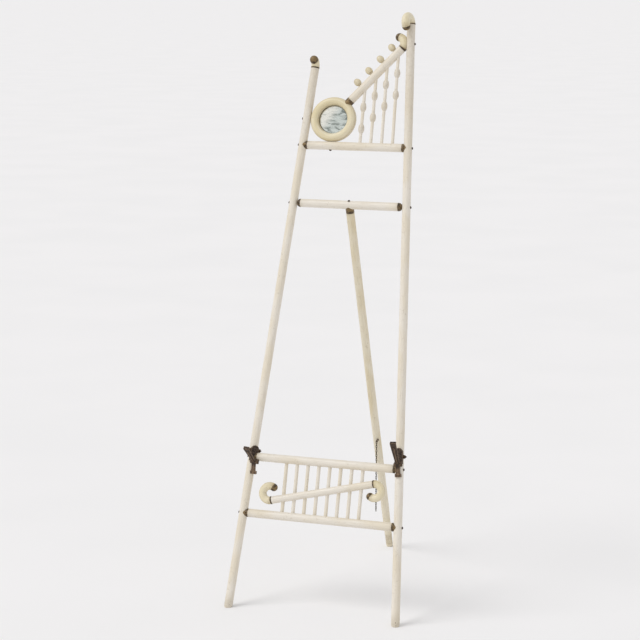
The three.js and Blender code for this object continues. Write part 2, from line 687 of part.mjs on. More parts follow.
for (const side of Object.keys(sides)) {
  const rest = new THREE.Group();
  rest.position.set(0, 0, restHingeHeight[side] / Math.cos(splay));
  uprightAxes[side].add(rest);
  const saddle = new THREE.Group();
  saddle.rotation.z = restSaddleTurn[side];
  const hinge = new THREE.Group();
  hinge.position.set(0, -restHingeStandOff, 0).applyEuler(saddle.rotation);
  hinge.rotation.z = restArmTurn[side];
  rest.add(saddle, hinge);
  saddle.updateMatrix();
  hinge.updateMatrix();
  const toHinge = hinge.matrix.clone().invert().multiply(saddle.matrix);

  const plate = place(hinge, `${side}_rest_plate`, plateGeometry(toHinge, restBoltRise[side]), castBronze);
  const arm = place(hinge, `${side}_rest_arm`, armGeometry(restTongueAngle[side]), castBronze);

  const post = drill(rest, at(0, -60), at(0, 80), dowelRadius + fitGap, dowelSides);
  const railReach = uprightX(lowerRailHeight);
  const railEnd = drill(
    frame, at(-railReach, lowerRailHeight), at(railReach, lowerRailHeight), dowelRadius + fitGap, dowelSides,
  );
  const throughPin = drill(hinge, at(-20, 0), at(20, 0), pinRadius + fitGap);
  const barrelSeat = drill(hinge, at(-lugInner, 0), at(lugInner, 0), lugRadius + 2 * fitGap, slimSides);
  const boltRise = restBoltRise[side];
  const throughBolt = drill(
    saddle, at(-20, boltRise, -boltStandOff), at(20, boltRise, -boltStandOff), boltRadius + fitGap,
  );
  const headSeats = [-1, 1].map((sign) => (
    drill(hinge, at(sign * lugOuter, 0), at(sign * (lugOuter + 3), 0), pinHead + 2 * fitGap)
  ));
  machine(plate, post, railEnd, barrelSeat, throughPin, throughBolt, ...headSeats);
  machine(arm, post, throughPin);
  machine(uprights[side], throughBolt);

  const pinFace = lugOuter + fitGap;
  place(hinge, `${side}_rest_pin`, turned([
    [0, -pinFace - 1.6], [pinHead - 1, -pinFace - 1.6], [pinHead, -pinFace], [pinRadius, -pinFace],
    [pinRadius, pinFace], [pinHead, pinFace], [pinHead - 1, pinFace + 1.6], [0, pinFace + 1.6],
  ], stickSides).rotateY(Math.PI / 2), darkIron);

  const boltHead = 4.6;
  const boltFace = bossFace + fitGap;
  const nutThickness = 4.6;
  const boltTip = 4.2;
  const bolt = place(saddle, `${side}_rest_bolt`, turned([
    [0, -boltFace - 2.4], [boltHead * 0.6, -boltFace - 2.2], [boltHead, -boltFace], [boltRadius, -boltFace],
    [boltRadius, boltFace + nutThickness + 1], [0, boltFace + nutThickness + boltTip],
  ], stickSides).rotateY(Math.PI / 2), darkIron);
  bolt.position.set(0, -boltStandOff, boltRise);
  const thread = (boltRadius + fitGap) / Math.cos(Math.PI / 6);
  const nut = place(saddle, `${side}_rest_nut`, turned([
    [thread, boltFace], [5.2, boltFace], [5.2, boltFace + nutThickness - 0.8],
    [4.3, boltFace + nutThickness], [thread, boltFace + nutThickness], [thread, boltFace],
  ], 6).rotateY(Math.PI / 2), darkIron);
  nut.position.copy(bolt.position);
}

// ---------------------------------------------------------------------------------------------
// Chain eye and stay chain
// ---------------------------------------------------------------------------------------------

const eyeWire = 1.25;
const eyeLoop = 4;
const eyeStandOff = dowelRadius + eyeLoop + eyeWire - 0.4;
const eyeShank = 12;
const eyeSweep = degrees(318);

// A screw eye: a straight shank into the leg, then a loop of wire that nearly closes on it.
class EyeCurve extends THREE.Curve {
  getPoint(t, target = new THREE.Vector3()) {
    const straight = eyeShank + eyeStandOff - eyeLoop;
    const travelled = t * (straight + eyeLoop * eyeSweep);
    if (travelled < straight) {
      return target.set(0, eyeShank - travelled, 0);
    }
    const turn = (travelled - straight) / eyeLoop;
    return target.set(
      0,
      -eyeStandOff + eyeLoop * Math.cos(turn),
      eyeLoop * Math.sin(turn),
    );
  }
}

const wireSection = new THREE.Shape().absarc(0, 0, eyeWire, 0, 2 * Math.PI, false);
const chainEye = place(legAxis, 'chain_eye', new THREE.ExtrudeGeometry(wireSection, {
  steps: 24, extrudePath: new EyeCurve(), curveSegments: 3,
}), darkIron);
chainEye.position.z = -eyeDrop;
chainEye.rotation.z = eyeTurn;
machine(rearLeg, drill(
  chainEye, at(0, 0, -dowelRadius - 2), at(0, 0, eyeShank + 1), eyeWire + fitGap,
));

legAxis.updateWorldMatrix(true, true);
const eyeCentre = chainEye.localToWorld(new THREE.Vector3(0, -eyeStandOff, 0));
const chainTop = eyeCentre.clone().setZ(eyeCentre.z - eyeLoop - eyeWire - fitGap);
const chainPoints = [0, 0.2, 0.4, 0.6, 0.8, 1].map((share) => (
  chainTop.clone().setZ(chainTop.z - chainLength * share)
));
const chainSection = new THREE.Shape().absarc(0, 0, chainRadius, 0, 2 * Math.PI, false);
place(easel, 'stay_chain', new THREE.ExtrudeGeometry(chainSection, {
  steps: 20, extrudePath: new THREE.CatmullRomCurve3(chainPoints), curveSegments: 4,
}), chainBrass);

// ---------------------------------------------------------------------------------------------
// Origin: floor level, in the middle of the easel's footprint, chain left out
// ---------------------------------------------------------------------------------------------

makeCuts();
const group = new THREE.Group();
group.add(easel);
group.updateMatrixWorld(true);
const extent = new THREE.Box3();
easel.traverse((object) => {
  if (object.isMesh && object.name !== 'stay_chain') {
    extent.expandByObject(object, true);
  }
});
const middle = extent.getCenter(new THREE.Vector3());
easel.position.set(-middle.x, -middle.y, -extent.min.z);
group.updateMatrixWorld(true);

export default group;
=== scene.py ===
"""Stick-and-ball display easel in painted dowels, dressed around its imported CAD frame.

Sizes are in millimetres up to the making of each mesh, which is in metres in the CAD's own frame.
The front frame is drawn flat, x to the viewer's right, y to the back and z up along the frame, and
is then leaned back as one.
"""

import logging
import math
import zlib
from collections.abc import Callable, Sequence
from dataclasses import dataclass, field, replace
from enum import Enum

import bpy
import numpy as np
from mathutils import Matrix, Vector

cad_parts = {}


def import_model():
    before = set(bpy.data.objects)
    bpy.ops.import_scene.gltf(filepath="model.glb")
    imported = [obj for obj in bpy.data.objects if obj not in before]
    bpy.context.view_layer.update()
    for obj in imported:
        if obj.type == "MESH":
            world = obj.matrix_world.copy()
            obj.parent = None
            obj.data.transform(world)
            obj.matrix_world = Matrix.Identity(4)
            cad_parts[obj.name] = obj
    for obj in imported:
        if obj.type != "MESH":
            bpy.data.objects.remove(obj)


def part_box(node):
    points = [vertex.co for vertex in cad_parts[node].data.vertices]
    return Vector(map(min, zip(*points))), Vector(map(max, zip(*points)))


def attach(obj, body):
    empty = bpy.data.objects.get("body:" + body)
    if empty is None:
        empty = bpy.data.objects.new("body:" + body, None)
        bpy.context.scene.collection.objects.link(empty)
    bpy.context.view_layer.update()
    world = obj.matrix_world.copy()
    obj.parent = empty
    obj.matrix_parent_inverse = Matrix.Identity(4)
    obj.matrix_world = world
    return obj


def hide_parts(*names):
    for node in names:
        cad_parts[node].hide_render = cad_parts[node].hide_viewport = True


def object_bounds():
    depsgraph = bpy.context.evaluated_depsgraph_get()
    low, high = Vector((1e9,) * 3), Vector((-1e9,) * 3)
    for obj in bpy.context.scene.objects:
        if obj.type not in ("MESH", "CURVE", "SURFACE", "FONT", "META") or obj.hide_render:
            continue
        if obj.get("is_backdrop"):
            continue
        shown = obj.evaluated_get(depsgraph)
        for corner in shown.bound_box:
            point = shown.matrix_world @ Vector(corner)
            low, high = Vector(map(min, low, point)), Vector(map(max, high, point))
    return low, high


log = logging.getLogger("easel")

Profile = list[tuple[float, float]]
Cut = Callable[[np.ndarray, np.ndarray], np.ndarray]
Colour = tuple[float, float, float]
Band = tuple[float, float]

MILLIMETRE = 0.001
FAR_FROM_TRIM = -30.0
FIT_GAP = 0.3
TINY = 1e-6
BORE = 5.3
BORE_DEPTH = 12.5
DOWEL_SIDES = 40
COPED_SIDES = 48
STICK_SIDES = 28
HAND_WORK = 0.08
CREASE = math.radians(38)
ALONG = Vector((0, 0, 1))
ACROSS = Vector((1, 0, 0))
BACK = Vector((0, 1, 0))


class Side(Enum):
    """The viewer's left or right; the value is the sign of x."""

    LEFT = -1
    RIGHT = 1

    @property
    def word(self) -> str:
        """The side's name as the frame's nodes spell it."""
        return self.name.lower()


class Body(Enum):
    """The CAD bodies that pieces ride on."""

    FRAME = "frame"
    REAR_LEG = "rear_leg"
    CHAIN = "chain"
    LEFT_REST = "left_rest"
    RIGHT_REST = "right_rest"


class Slot(Enum):
    """The record's material slots."""

    IVORY = "ivory_paint"
    AGED = "aged_paint"
    LEG = "leg_paint"
    BOARD = "backboard"
    BRONZE = "cast_bronze"
    IRON = "iron"
    CHAIN = "chain"
    GLASS = "mirror_glass"


# ---------------------------------------------------------------------------------------------
# Shapes
# ---------------------------------------------------------------------------------------------


@dataclass
class Shape:
    """Points and faces of one piece, with what its finish has to know of each point.

    straight is the point's place in the blank before any bending, trim how far it lies inside the
    dark trim (negative outside), and wear how rubbed it is, from 0 to 1. Wear also carries painted
    shade on the uprights' tops and darker edges on the ring; on the glass it runs from the painted
    highlight (0) to the plain silvering (1).
    """

    points: np.ndarray
    faces: list[tuple[int, ...]]
    straight: np.ndarray
    trim: np.ndarray
    wear: np.ndarray

    @staticmethod
    def plain(points: np.ndarray, faces: list[tuple[int, ...]]) -> "Shape":
        """A shape with no trim and no wear."""
        count = len(points)
        return Shape(points, faces, points.copy(), np.full(count, FAR_FROM_TRIM), np.zeros(count))

    def placed(self, matrix: Matrix) -> "Shape":
        """The same shape moved by a matrix.

        Args:
            matrix: Where the shape goes.

        Returns:
            The moved shape.
        """
        turn = np.array(matrix.to_3x3())
        shift = np.array(matrix.translation)
        return replace(self, points=self.points @ turn.T + shift)

    def bent(self, neck: float, radius: float, sweep: float) -> "Shape":
        """Curls the shape toward its own +y.

        Args:
            neck: Height where the bend starts.
            radius: Radius of the bend's centre line.
            sweep: How far the bend turns, in radians.

        Returns:
            The curled shape.
        """
        points = self.points.copy()
        beyond = np.maximum(points[:, 2] - neck, 0)
        turn = np.minimum(beyond / radius, sweep)
        run = beyond - turn * radius
        arm = radius - points[:, 1]
        bend = beyond > 0
        points[bend, 1] = (radius - arm * np.cos(turn) + run * np.sin(turn))[bend]
        points[bend, 2] = (neck + arm * np.sin(turn) + run * np.cos(turn))[bend]
        return replace(self, points=points)

    def trimmed(self, bands: Sequence[Band]) -> "Shape":
        """Marks the dark trim between pairs of heights on the straight blank.

        Args:
            bands: Pairs of heights.

        Returns:
            The shape with its trim marked.
        """
        height = self.straight[:, 2]
        depth = [np.minimum(height - low, high - height) for low, high in bands]
        return replace(self, trim=np.max(depth, axis=0))

    def rubbed(self, bands: Sequence[Band], fade: float = 14.0) -> "Shape":
        """Marks wear that fades out over a few millimetres beyond each band of heights.

        Args:
            bands: Pairs of heights.
            fade: How far beyond a band the wear reaches.

        Returns:
            The shape with its wear marked.
        """
        height = self.straight[:, 2]
        wear = np.zeros(len(height))
        for low, high in bands:
            outside = np.maximum(np.maximum(low - height, height - high), 0)
            wear = np.maximum(wear, np.clip(1 - outside / fade, 0, 1))
        return replace(self, wear=wear)

    def cleared(self, axis: Matrix, radius: float) -> "Shape":
        """Pushes points out of a round bar that runs along the z axis of a matrix.

        Args:
            axis: The bar, with z along it.
            radius: Radius of the bar.

        Returns:
            The shape, hollowed where it met the bar.
        """
        inverse = axis.inverted()
        turn, shift = np.array(inverse.to_3x3()), np.array(inverse.translation)
        local = self.points @ turn.T + shift
        reach = np.hypot(local[:, 0], local[:, 1])
        grow = np.where(reach < radius, radius / np.maximum(reach, TINY), 1.0)
        local[:, :2] *= grow[:, None]
        return replace(self, points=local).placed(axis)

    def joined(self, *others: "Shape") -> "Shape":
        """One shape from this one and others that touch it.

        Returns:
            The joined shape.
        """
        parts = [self, *others]
        starts = np.cumsum([0] + [len(part.points) for part in parts[:-1]])
        faces = [
            tuple(int(start) + corner for corner in face)
            for part, start in zip(parts, starts)
            for face in part.faces
        ]
        points, straight, trim, wear = (
            np.concatenate([getattr(part, key) for part in parts])
            for key in ("points", "straight", "trim", "wear")
        )
        return Shape(points, faces, straight, trim, wear)

    def mesh(self, name: str, crease: float) -> bpy.types.Mesh:
        """Makes the Blender mesh, in metres, with the finish's marks as attributes.

        Args:
            name: Name of the mesh, which also sets where its grain starts.
            crease: Angle from which an edge shows as an arris.

        Returns:
            The new mesh.
        """
        mesh = bpy.data.meshes.new(name)
        mesh.from_pydata((self.points * MILLIMETRE).tolist(), [], self.faces)
        mesh.validate()
        mesh.shade_smooth()
        mesh.set_sharp_from_angle(angle=crease)
        offset = zlib.crc32(name.encode()) % 997 * np.array([0.013, 0.007, 0.029])
        straight = mesh.attributes.new("straight", "FLOAT_VECTOR", "POINT")
        straight.data.foreach_set("vector", (self.straight * MILLIMETRE + offset).ravel())
        for key, values in (("trim", self.trim), ("wear", self.wear)):
            made = mesh.attributes.new(key, "FLOAT", "POINT")
            made.data.foreach_set("value", values.astype(np.float32))
        return mesh


def arc(centre: tuple[float, float], radius: float, turns: Band, steps: int) -> Profile:
    """Points of a circle's arc in a profile.

    Args:
        centre: Radius and height of the arc's centre.
        radius: Radius of the arc.
        turns: First and last angle from straight outward, in degrees.
        steps: Number of pieces that the arc is split into.

    Returns:
        Profile points from the first angle to the last.
    """
    angles = np.radians(np.linspace(turns[0], turns[1], steps + 1))
    return [
        (max(centre[0] + radius * math.cos(a), 0.0), centre[1] + radius * math.sin(a))
        for a in angles
    ]


def eased(profile: Profile, radius: float = 0.45, limit: float = 28.0) -> Profile:
    """Rounds the corners of a profile that turn more than a limit.

    Args:
        profile: Radius and height pairs.
        radius: How far from the corner the rounding starts.
        limit: Smallest turn that is rounded, in degrees.

    Returns:
        The eased profile.
    """
    out = [profile[0]]
    for before, here, after in zip(profile, profile[1:], profile[2:]):
        a, b, c = (np.array(p, float) for p in (before, here, after))
        to_a, to_c = a - b, c - b
        len_a, len_c = np.linalg.norm(to_a), np.linalg.norm(to_c)
        cosine = float(np.clip(to_a @ to_c / (len_a * len_c + 1e-9), -1, 1))
        turn = 180 - math.degrees(math.acos(cosine))
        if turn < limit or min(len_a, len_c) < TINY:
            out.append(here)
            continue
        size = min(radius, 0.45 * len_a, 0.45 * len_c)
        start, end = b + to_a / len_a * size, b + to_c / len_c * size
        for t in (0, 0.5, 1):
            point = (1 - t) ** 2 * start + 2 * t * (1 - t) * b + t * t * end
            out.append((float(point[0]), float(point[1])))
    out.append(profile[-1])
    return out


def filled(profile: Profile, step: float) -> Profile:
    """Splits every long run of a profile into pieces no longer than a step.

    Args:
        profile: Radius and height pairs.
        step: Longest run that is left whole.

    Returns:
        The profile with more points.
    """
    out = [profile[0]]
    for (r0, z0), (r1, z1) in zip(profile, profile[1:]):
        count = max(1, math.ceil(math.hypot(r1 - r0, z1 - z0) / step))
        out += [
            (r0 + (r1 - r0) * i / count, z0 + (z1 - z0) * i / count) for i in range(1, count + 1)
        ]
    return out


def coped_face(radius: float, height: float = 0) -> Profile:
    """Rows across a coped end of a dowel, from its middle out."""
    shares = ((radius * share, height) for share in (0.3, 0.6, 0.85))
    return [(0, height), *shares, (radius - 0.15, height)]


def bored_end(radius: float, end: float, ease: float = 0.35) -> Profile:
    """End of a dowel that is bored for a crook's spigot, from its rim in."""
    return [(radius - ease, end), (BORE, end), (BORE, end - BORE_DEPTH), (0, end - BORE_DEPTH)]


def level_row(radius: float | np.ndarray, height: float | np.ndarray, sides: int) -> np.ndarray:
    """Row of points round the z axis; radius and height may differ from side to side.

    Args:
        radius: Distance from the axis.
        height: Height of the row.
        sides: Number of points in the row.

    Returns:
        The points, one to a line.
    """
    angles = np.arange(sides) * (2 * math.pi / sides)
    heights = np.broadcast_to(height, sides)
    return np.stack([radius * np.cos(angles), radius * np.sin(angles), heights], axis=1)


def turned(
    profile: Profile,
    sides: int = DOWEL_SIDES,
    start: Cut | None = None,
    end: Cut | None = None,
    zone: float = 22.0,
    uneven: float = 0.0,
) -> Shape:
    """Turns a profile round +z, with ends cut to fit what they meet.

    Args:
        profile: Radius and height pairs from the bottom up; a radius of nought is on the axis.
        sides: Number of sides round the piece.
        start: Height of the lower cut at a place in the section, from its x and y.
        end: Height of the upper cut, likewise.
        zone: Length next to a cut over which the piece is stretched to meet it.
        uneven: Depth of the waves that hand work leaves along the piece.

    Returns:
        The turned shape.
    """
    angles = np.arange(sides) * (2 * math.pi / sides)
    low, high = profile[0][1], profile[-1][1]
    rows: list[np.ndarray] = []
    for radius, height in profile:
        turn = angles if radius > TINY else angles[:1]
        wave = uneven * (
            np.sin(height / 31 + 2 * turn) + 0.6 * np.sin(height / 13.7 + 3 * turn + 1.3)
        ) / 1.6
        reach = max(radius, 0.0) + (wave if radius > TINY else 0 * turn)
        x, y = reach * np.cos(turn), reach * np.sin(turn)
        z = np.full(len(turn), float(height))
        if start is not None and height < low + zone:
            cut = start(x, y)
            z = cut + (low + zone - cut) * (height - low) / zone
        if end is not None and height > high - zone:
            cut = end(x, y)
            z = cut + (high - zone - cut) * (high - height) / zone
        rows.append(np.stack([x, y, z], axis=1))
    return skinned(rows)


def skinned(rows: list[np.ndarray], closed: bool = False) -> Shape:
    """Joins closed rows of points into a skin; a row of one point closes the skin there.

    Args:
        rows: Rows of points, each of the same count or of one point.
        closed: Whether the last row runs on to the first.

    Returns:
        The closed shape.
    """
    starts = np.cumsum([0] + [len(row) for row in rows[:-1]]).tolist()
    faces: list[tuple[int, ...]] = []
    for lower, upper, a, b in zip(rows, rows[1:], starts, starts[1:]):
        count = max(len(lower), len(upper))
        for i in range(count):
            j = (i + 1) % count
            if len(lower) == 1 and len(upper) == 1:
                continue
            if len(lower) == 1:
                faces.append((a, b + j, b + i))
            elif len(upper) == 1:
                faces.append((a + i, a + j, b))
            else:
                faces.append((a + i, a + j, b + j, b + i))
    if closed:
        last, sides = starts[-1], len(rows[0])
        for i in range(sides):
            j = (i + 1) % sides
            faces.append((last + i, last + j, j, i))
    return Shape.plain(np.concatenate(rows), faces)


def facets(count: int, sides: int) -> np.ndarray:
    """Cosine from the middle of the nearest flat, at each side of a row round a prism."""
    angles, half = np.arange(sides) * (2 * math.pi / sides), math.pi / count
    return np.cos((angles + half) % (2 * half) - half)


def swept(path: np.ndarray, radius: float, sides: int = 10, closed: bool = False) -> Shape:
    """Round wire along a path.

    Args:
        path: Points of the wire's centre line.
        radius: Radius of the wire.
        sides: Number of sides round the wire.
        closed: Whether the last point runs on to the first.

    Returns:
        The wire, with rounded ends unless it is closed.
    """
    if closed:
        ways = np.roll(path, -1, axis=0) - np.roll(path, 1, axis=0)
    else:
        ways = np.gradient(path, axis=0)
    ways /= np.linalg.norm(ways, axis=1)[:, None]
    normal = np.cross(ways[0], [0.31, 0.52, 0.79])
    circles = []
    angles = np.arange(sides) * (2 * math.pi / sides)
    for way in ways:
        normal = normal - way * (normal @ way)
        normal /= np.linalg.norm(normal)
        other = np.cross(way, normal)
        circles.append(np.cos(angles)[:, None] * normal + np.sin(angles)[:, None] * other)
    rings = [centre + radius * circle for centre, circle in zip(path, circles)]
    if closed:
        return skinned(rings, closed=True)
    tip, shoulder, narrow = 0.9, 0.55, 0.75
    first = [
        path[0][None] - ways[0] * radius * tip,
        path[0] - ways[0] * radius * shoulder + narrow * radius * circles[0],
    ]
    final = [
        path[-1] + ways[-1] * radius * shoulder + narrow * radius * circles[-1],
        path[-1][None] + ways[-1] * radius * tip,
    ]
    return skinned([*first, *rings, *final])


def from_axes(x: Vector, y: Vector, z: Vector, origin: Vector) -> Matrix:
    """Matrix whose columns are three axes and an origin."""
    rows = [(x[i], y[i], z[i], origin[i]) for i in range(3)]
    return Matrix((*rows, (0, 0, 0, 1)))


def standing(start: Vector, way: Vector, side: Vector) -> Matrix:
    """Place of a piece that starts at a point and runs along a way.

    Args:
        start: Where the piece's own origin goes.
        way: Where its z axis points.
        side: Where its x axis points, square to the way.

    Returns:
        The matrix from the piece to its group.
    """
    z, x = way.normalized(), side.normalized()
    return from_axes(x, z.cross(x), z, start)


# ---------------------------------------------------------------------------------------------
# Finishes
# ---------------------------------------------------------------------------------------------


MIX_SHARE, MIX_BELOW, MIX_ABOVE, MIX_RESULT = 0, 6, 7, 2


def tone(red: int, green: int, blue: int) -> Colour:
    """A colour from its everyday 0 to 255 values, as light.

    Args:
        red: Red value.
        green: Green value.
        blue: Blue value.

    Returns:
        The colour as linear light.
    """
    def light(value: float) -> float:
        """One channel as light."""
        share = value / 255
        return share / 12.92 if share <= 0.04045 else ((share + 0.055) / 1.055) ** 2.4
    return light(red), light(green), light(blue)


class Recipe:
    """The shader nodes of one finish, laid out step by step."""

    def __init__(self, name: str) -> None:
        """Starts a material with only its main shader and output.

        Args:
            name: Name of the material.
        """
        self.material = bpy.data.materials.new(name)
        self.material.use_nodes = True
        self.tree = self.material.node_tree
        self.tree.nodes.clear()
        self.shader = self.tree.nodes.new("ShaderNodeBsdfPrincipled")
        output = self.tree.nodes.new("ShaderNodeOutputMaterial")
        self.tree.links.new(self.shader.outputs[0], output.inputs[0])

    def feed(self, socket: bpy.types.NodeSocket, value: object) -> None:
        """Gives a socket a link or a plain value.

        Args:
            socket: Where the value goes.
            value: A link, a number or a colour.
        """
        if isinstance(value, bpy.types.NodeSocket):
            self.tree.links.new(value, socket)
        elif isinstance(value, tuple) and len(value) == 3 and socket.type == "RGBA":
            socket.default_value = (*value, 1.0)
        else:
            socket.default_value = value

    def mark(self, name: str, output: str = "Fac") -> bpy.types.NodeSocket:
        """One of the marks that the mesh carries.

        Args:
            name: Name of the mark.
            output: Which of the mark's outputs is read.

        Returns:
            The mark at each point.
        """
        node = self.tree.nodes.new("ShaderNodeAttribute")
        node.attribute_name = name
        return node.outputs[output]

    def stretch(self, vector: bpy.types.NodeSocket, scale: Colour) -> bpy.types.NodeSocket:
        """A place scaled by a different share along each axis.

        Args:
            vector: The place.
            scale: Share along each axis.

        Returns:
            The scaled place.
        """
        node = self.tree.nodes.new("ShaderNodeVectorMath")
        node.operation = "MULTIPLY"
        self.feed(node.inputs[0], vector)
        node.inputs[1].default_value = scale
        return node.outputs[0]

    def noise(
        self, vector: bpy.types.NodeSocket, scale: float, detail: float = 3.0, twist: float = 0.0
    ) -> bpy.types.NodeSocket:
        """Soft noise.

        Args:
            vector: Place that the noise is read at.
            scale: Waves per metre.
            detail: Number of finer layers.
            twist: How much the noise is warped by itself.

        Returns:
            The noise, from 0 to 1.
        """
        node = self.tree.nodes.new("ShaderNodeTexNoise")
        self.feed(node.inputs["Vector"], vector)
        node.inputs["Scale"].default_value = scale
        node.inputs["Detail"].default_value = detail
        node.inputs["Distortion"].default_value = twist
        return node.outputs[0]

    def sum(self, a: object, b: object, operation: str = "ADD") -> bpy.types.NodeSocket:
        """Two numbers put together by an operation.

        Args:
            a: First number.
            b: Second number.
            operation: How they are put together.

        Returns:
            The result.
        """
        node = self.tree.nodes.new("ShaderNodeMath")
        node.operation = operation
        self.feed(node.inputs[0], a)
        self.feed(node.inputs[1], b)
        return node.outputs[0]

    def step(
        self, value: object, low: float, high: float, to: Band = (0.0, 1.0)
    ) -> bpy.types.NodeSocket:
        """A smooth rise from one number to another between two limits.

        Args:
            value: What is measured.
            low: Where the rise starts.
            high: Where it ends.
            to: The numbers before and after the rise.

        Returns:
            The risen number.
        """
        node = self.tree.nodes.new("ShaderNodeMapRange")
        node.interpolation_type = "SMOOTHSTEP"
        keys = ("From Min", "From Max", "To Min", "To Max")
        for key, number in zip(keys, (low, high, *to)):
            node.inputs[key].default_value = number
        self.feed(node.inputs["Value"], value)
        return node.outputs[0]

    def blend(self, share: object, a: object, b: object) -> bpy.types.NodeSocket:
        """One colour laid over another.

        Args:
            share: How much of the second colour shows.
            a: The colour below.
            b: The colour above.

        Returns:
            The mixed colour.
        """
        node = self.tree.nodes.new("ShaderNodeMix")
        node.data_type = "RGBA"
        self.feed(node.inputs[MIX_SHARE], share)
        self.feed(node.inputs[MIX_BELOW], a)
        self.feed(node.inputs[MIX_ABOVE], b)
        return node.outputs[MIX_RESULT]

    def relief(self, height: bpy.types.NodeSocket, depth: float, strength: float = 1.0) -> None:
        """Presses a height field into the surface, depth in millimetres.

        Args:
            height: The height field.
            depth: Depth of the deepest marks.
            strength: How strongly it shows.
        """
        node = self.tree.nodes.new("ShaderNodeBump")
        node.inputs["Distance"].default_value = depth * MILLIMETRE
        node.inputs["Strength"].default_value = strength
        self.feed(node.inputs["Height"], height)
        self.feed(self.shader.inputs["Normal"], node.outputs[0])

    def surface(self, **values: object) -> bpy.types.Material:
        """Feeds the main shader and hands over the material.

        Args:
            **values: Colour, roughness and the other values by name.

        Returns:
            The finished material.
        """
        names = {
            "colour": "Base Color", "roughness": "Roughness", "metallic": "Metallic",
            "coat": "Coat Weight", "coat_roughness": "Coat Roughness",
            "specular": "Specular IOR Level",
        }
        for key, value in values.items():
            self.feed(self.shader.inputs[names[key]], value)
        return self.material


class Finish:
    """A finish that makes its material once."""

    name: str
    slot: Slot

    def recipe(self) -> bpy.types.Material:
        """Lays out the material."""
        raise NotImplementedError

    def material(self) -> bpy.types.Material:
        """The finish's material, made the first time that it is asked for."""
        return bpy.data.materials.get(self.name) or self.recipe()


@dataclass(frozen=True)
class BrushedPaint(Finish):
    """Old oil paint brushed along the wood, with bronze-painted trim and small chips."""

    name: str
    slot: Slot
    coat: Colour
    yellowed: Colour
    grime: Colour
    wood: Colour = tone(118, 92, 64)
    bronze: Colour = tone(70, 56, 38)
    # Lighter bronze of the trim's random patches and of its painted highlight.
    bronze_light: Colour = tone(128, 106, 70)
    chip_level: float = 0.735
    shading: float = 0.35
    brush_scale: float = 900
    drift_scale: float = 26
    blotch_scale: float = 120
    chip_scale: float = 330
    ragged_scale: float = 420
    ragged_edge: float = 2.2

    def recipe(self) -> bpy.types.Material:
        """Lays out brush marks, yellowing, grime, chips and the dark trim, whose bronze has
        lighter patches and a painted highlight where the trim runs deepest.

        Returns:
            The material.
        """
        r = Recipe(self.name)
        place = r.mark("straight", "Vector")
        streaks = r.noise(r.stretch(place, (1.0, 1.0, 0.035)), self.brush_scale, 4)
        drifts = r.noise(r.stretch(place, (1.0, 1.0, 0.35)), self.drift_scale, 3)
        blotches = r.noise(place, self.blotch_scale, 4, 0.6)
        wear = r.mark("wear")
        trim = r.mark("trim")

        colour = r.blend(r.step(drifts, 0.38, 0.66), self.coat, self.yellowed)
        colour = r.blend(r.step(streaks, 0.45, 0.75, (0.0, self.shading)), colour, self.grime)
        colour = r.blend(r.step(blotches, 0.58, 0.78, (0.0, 0.45)), colour, self.grime)

        soil = r.sum(wear, r.step(blotches, 0.25, 0.65, (0.4, 0.9)), "MULTIPLY")
        colour = r.blend(r.sum(soil, 0.6, "MULTIPLY"), colour, self.grime)
        edge_soil = r.step(trim, -4.0, 0.2, (0.0, 0.5))
        edge_soil = r.sum(edge_soil, r.step(blotches, 0.35, 0.65), "MULTIPLY")
        colour = r.blend(edge_soil, colour, self.grime)

        chips = r.noise(r.stretch(place, (1.0, 1.0, 0.45)), self.chip_scale, 5, 0.4)
        level = r.sum(chips, r.step(wear, 0.75, 1.0, (0.0, 0.1)))
        chipped = r.step(level, self.chip_level, self.chip_level + 0.02)
        colour = r.blend(chipped, colour, self.wood)

        ragged = r.sum(r.noise(place, self.ragged_scale, 3), 0.5, "SUBTRACT")
        edge = r.sum(trim, r.sum(ragged, self.ragged_edge, "MULTIPLY"))
        dark = r.step(edge, -0.3, 0.3)
        # Painted highlight: the bronze lightens where the trim runs deepest, strongest at the
        # middle of the crooks' domes, on top of lighter patches at random.
        tip = r.step(trim, 5.0, 11.5, (0.0, 0.24))
        patches_and_highlight = r.step(r.sum(r.noise(place, 190, 4, 0.8), tip), 0.46, 0.64)
        bronze = r.blend(patches_and_highlight, self.bronze, self.bronze_light)
        colour = r.blend(dark, colour, bronze)

        rough = r.step(r.sum(streaks, drifts), 0.8, 1.25, (0.36, 0.6))
        rough = r.sum(rough, r.sum(chipped, 0.2, "MULTIPLY"))
        height = r.sum(streaks, r.sum(chipped, -1.6, "MULTIPLY"))
        height = r.sum(height, r.sum(dark, 0.8, "MULTIPLY"))
        r.relief(r.sum(height, r.sum(drifts, 0.8, "MULTIPLY")), 0.09)
        return r.surface(
            colour=colour, roughness=rough, metallic=r.sum(dark, 0.35, "MULTIPLY"),
            coat=0.12, coat_roughness=0.35,
        )


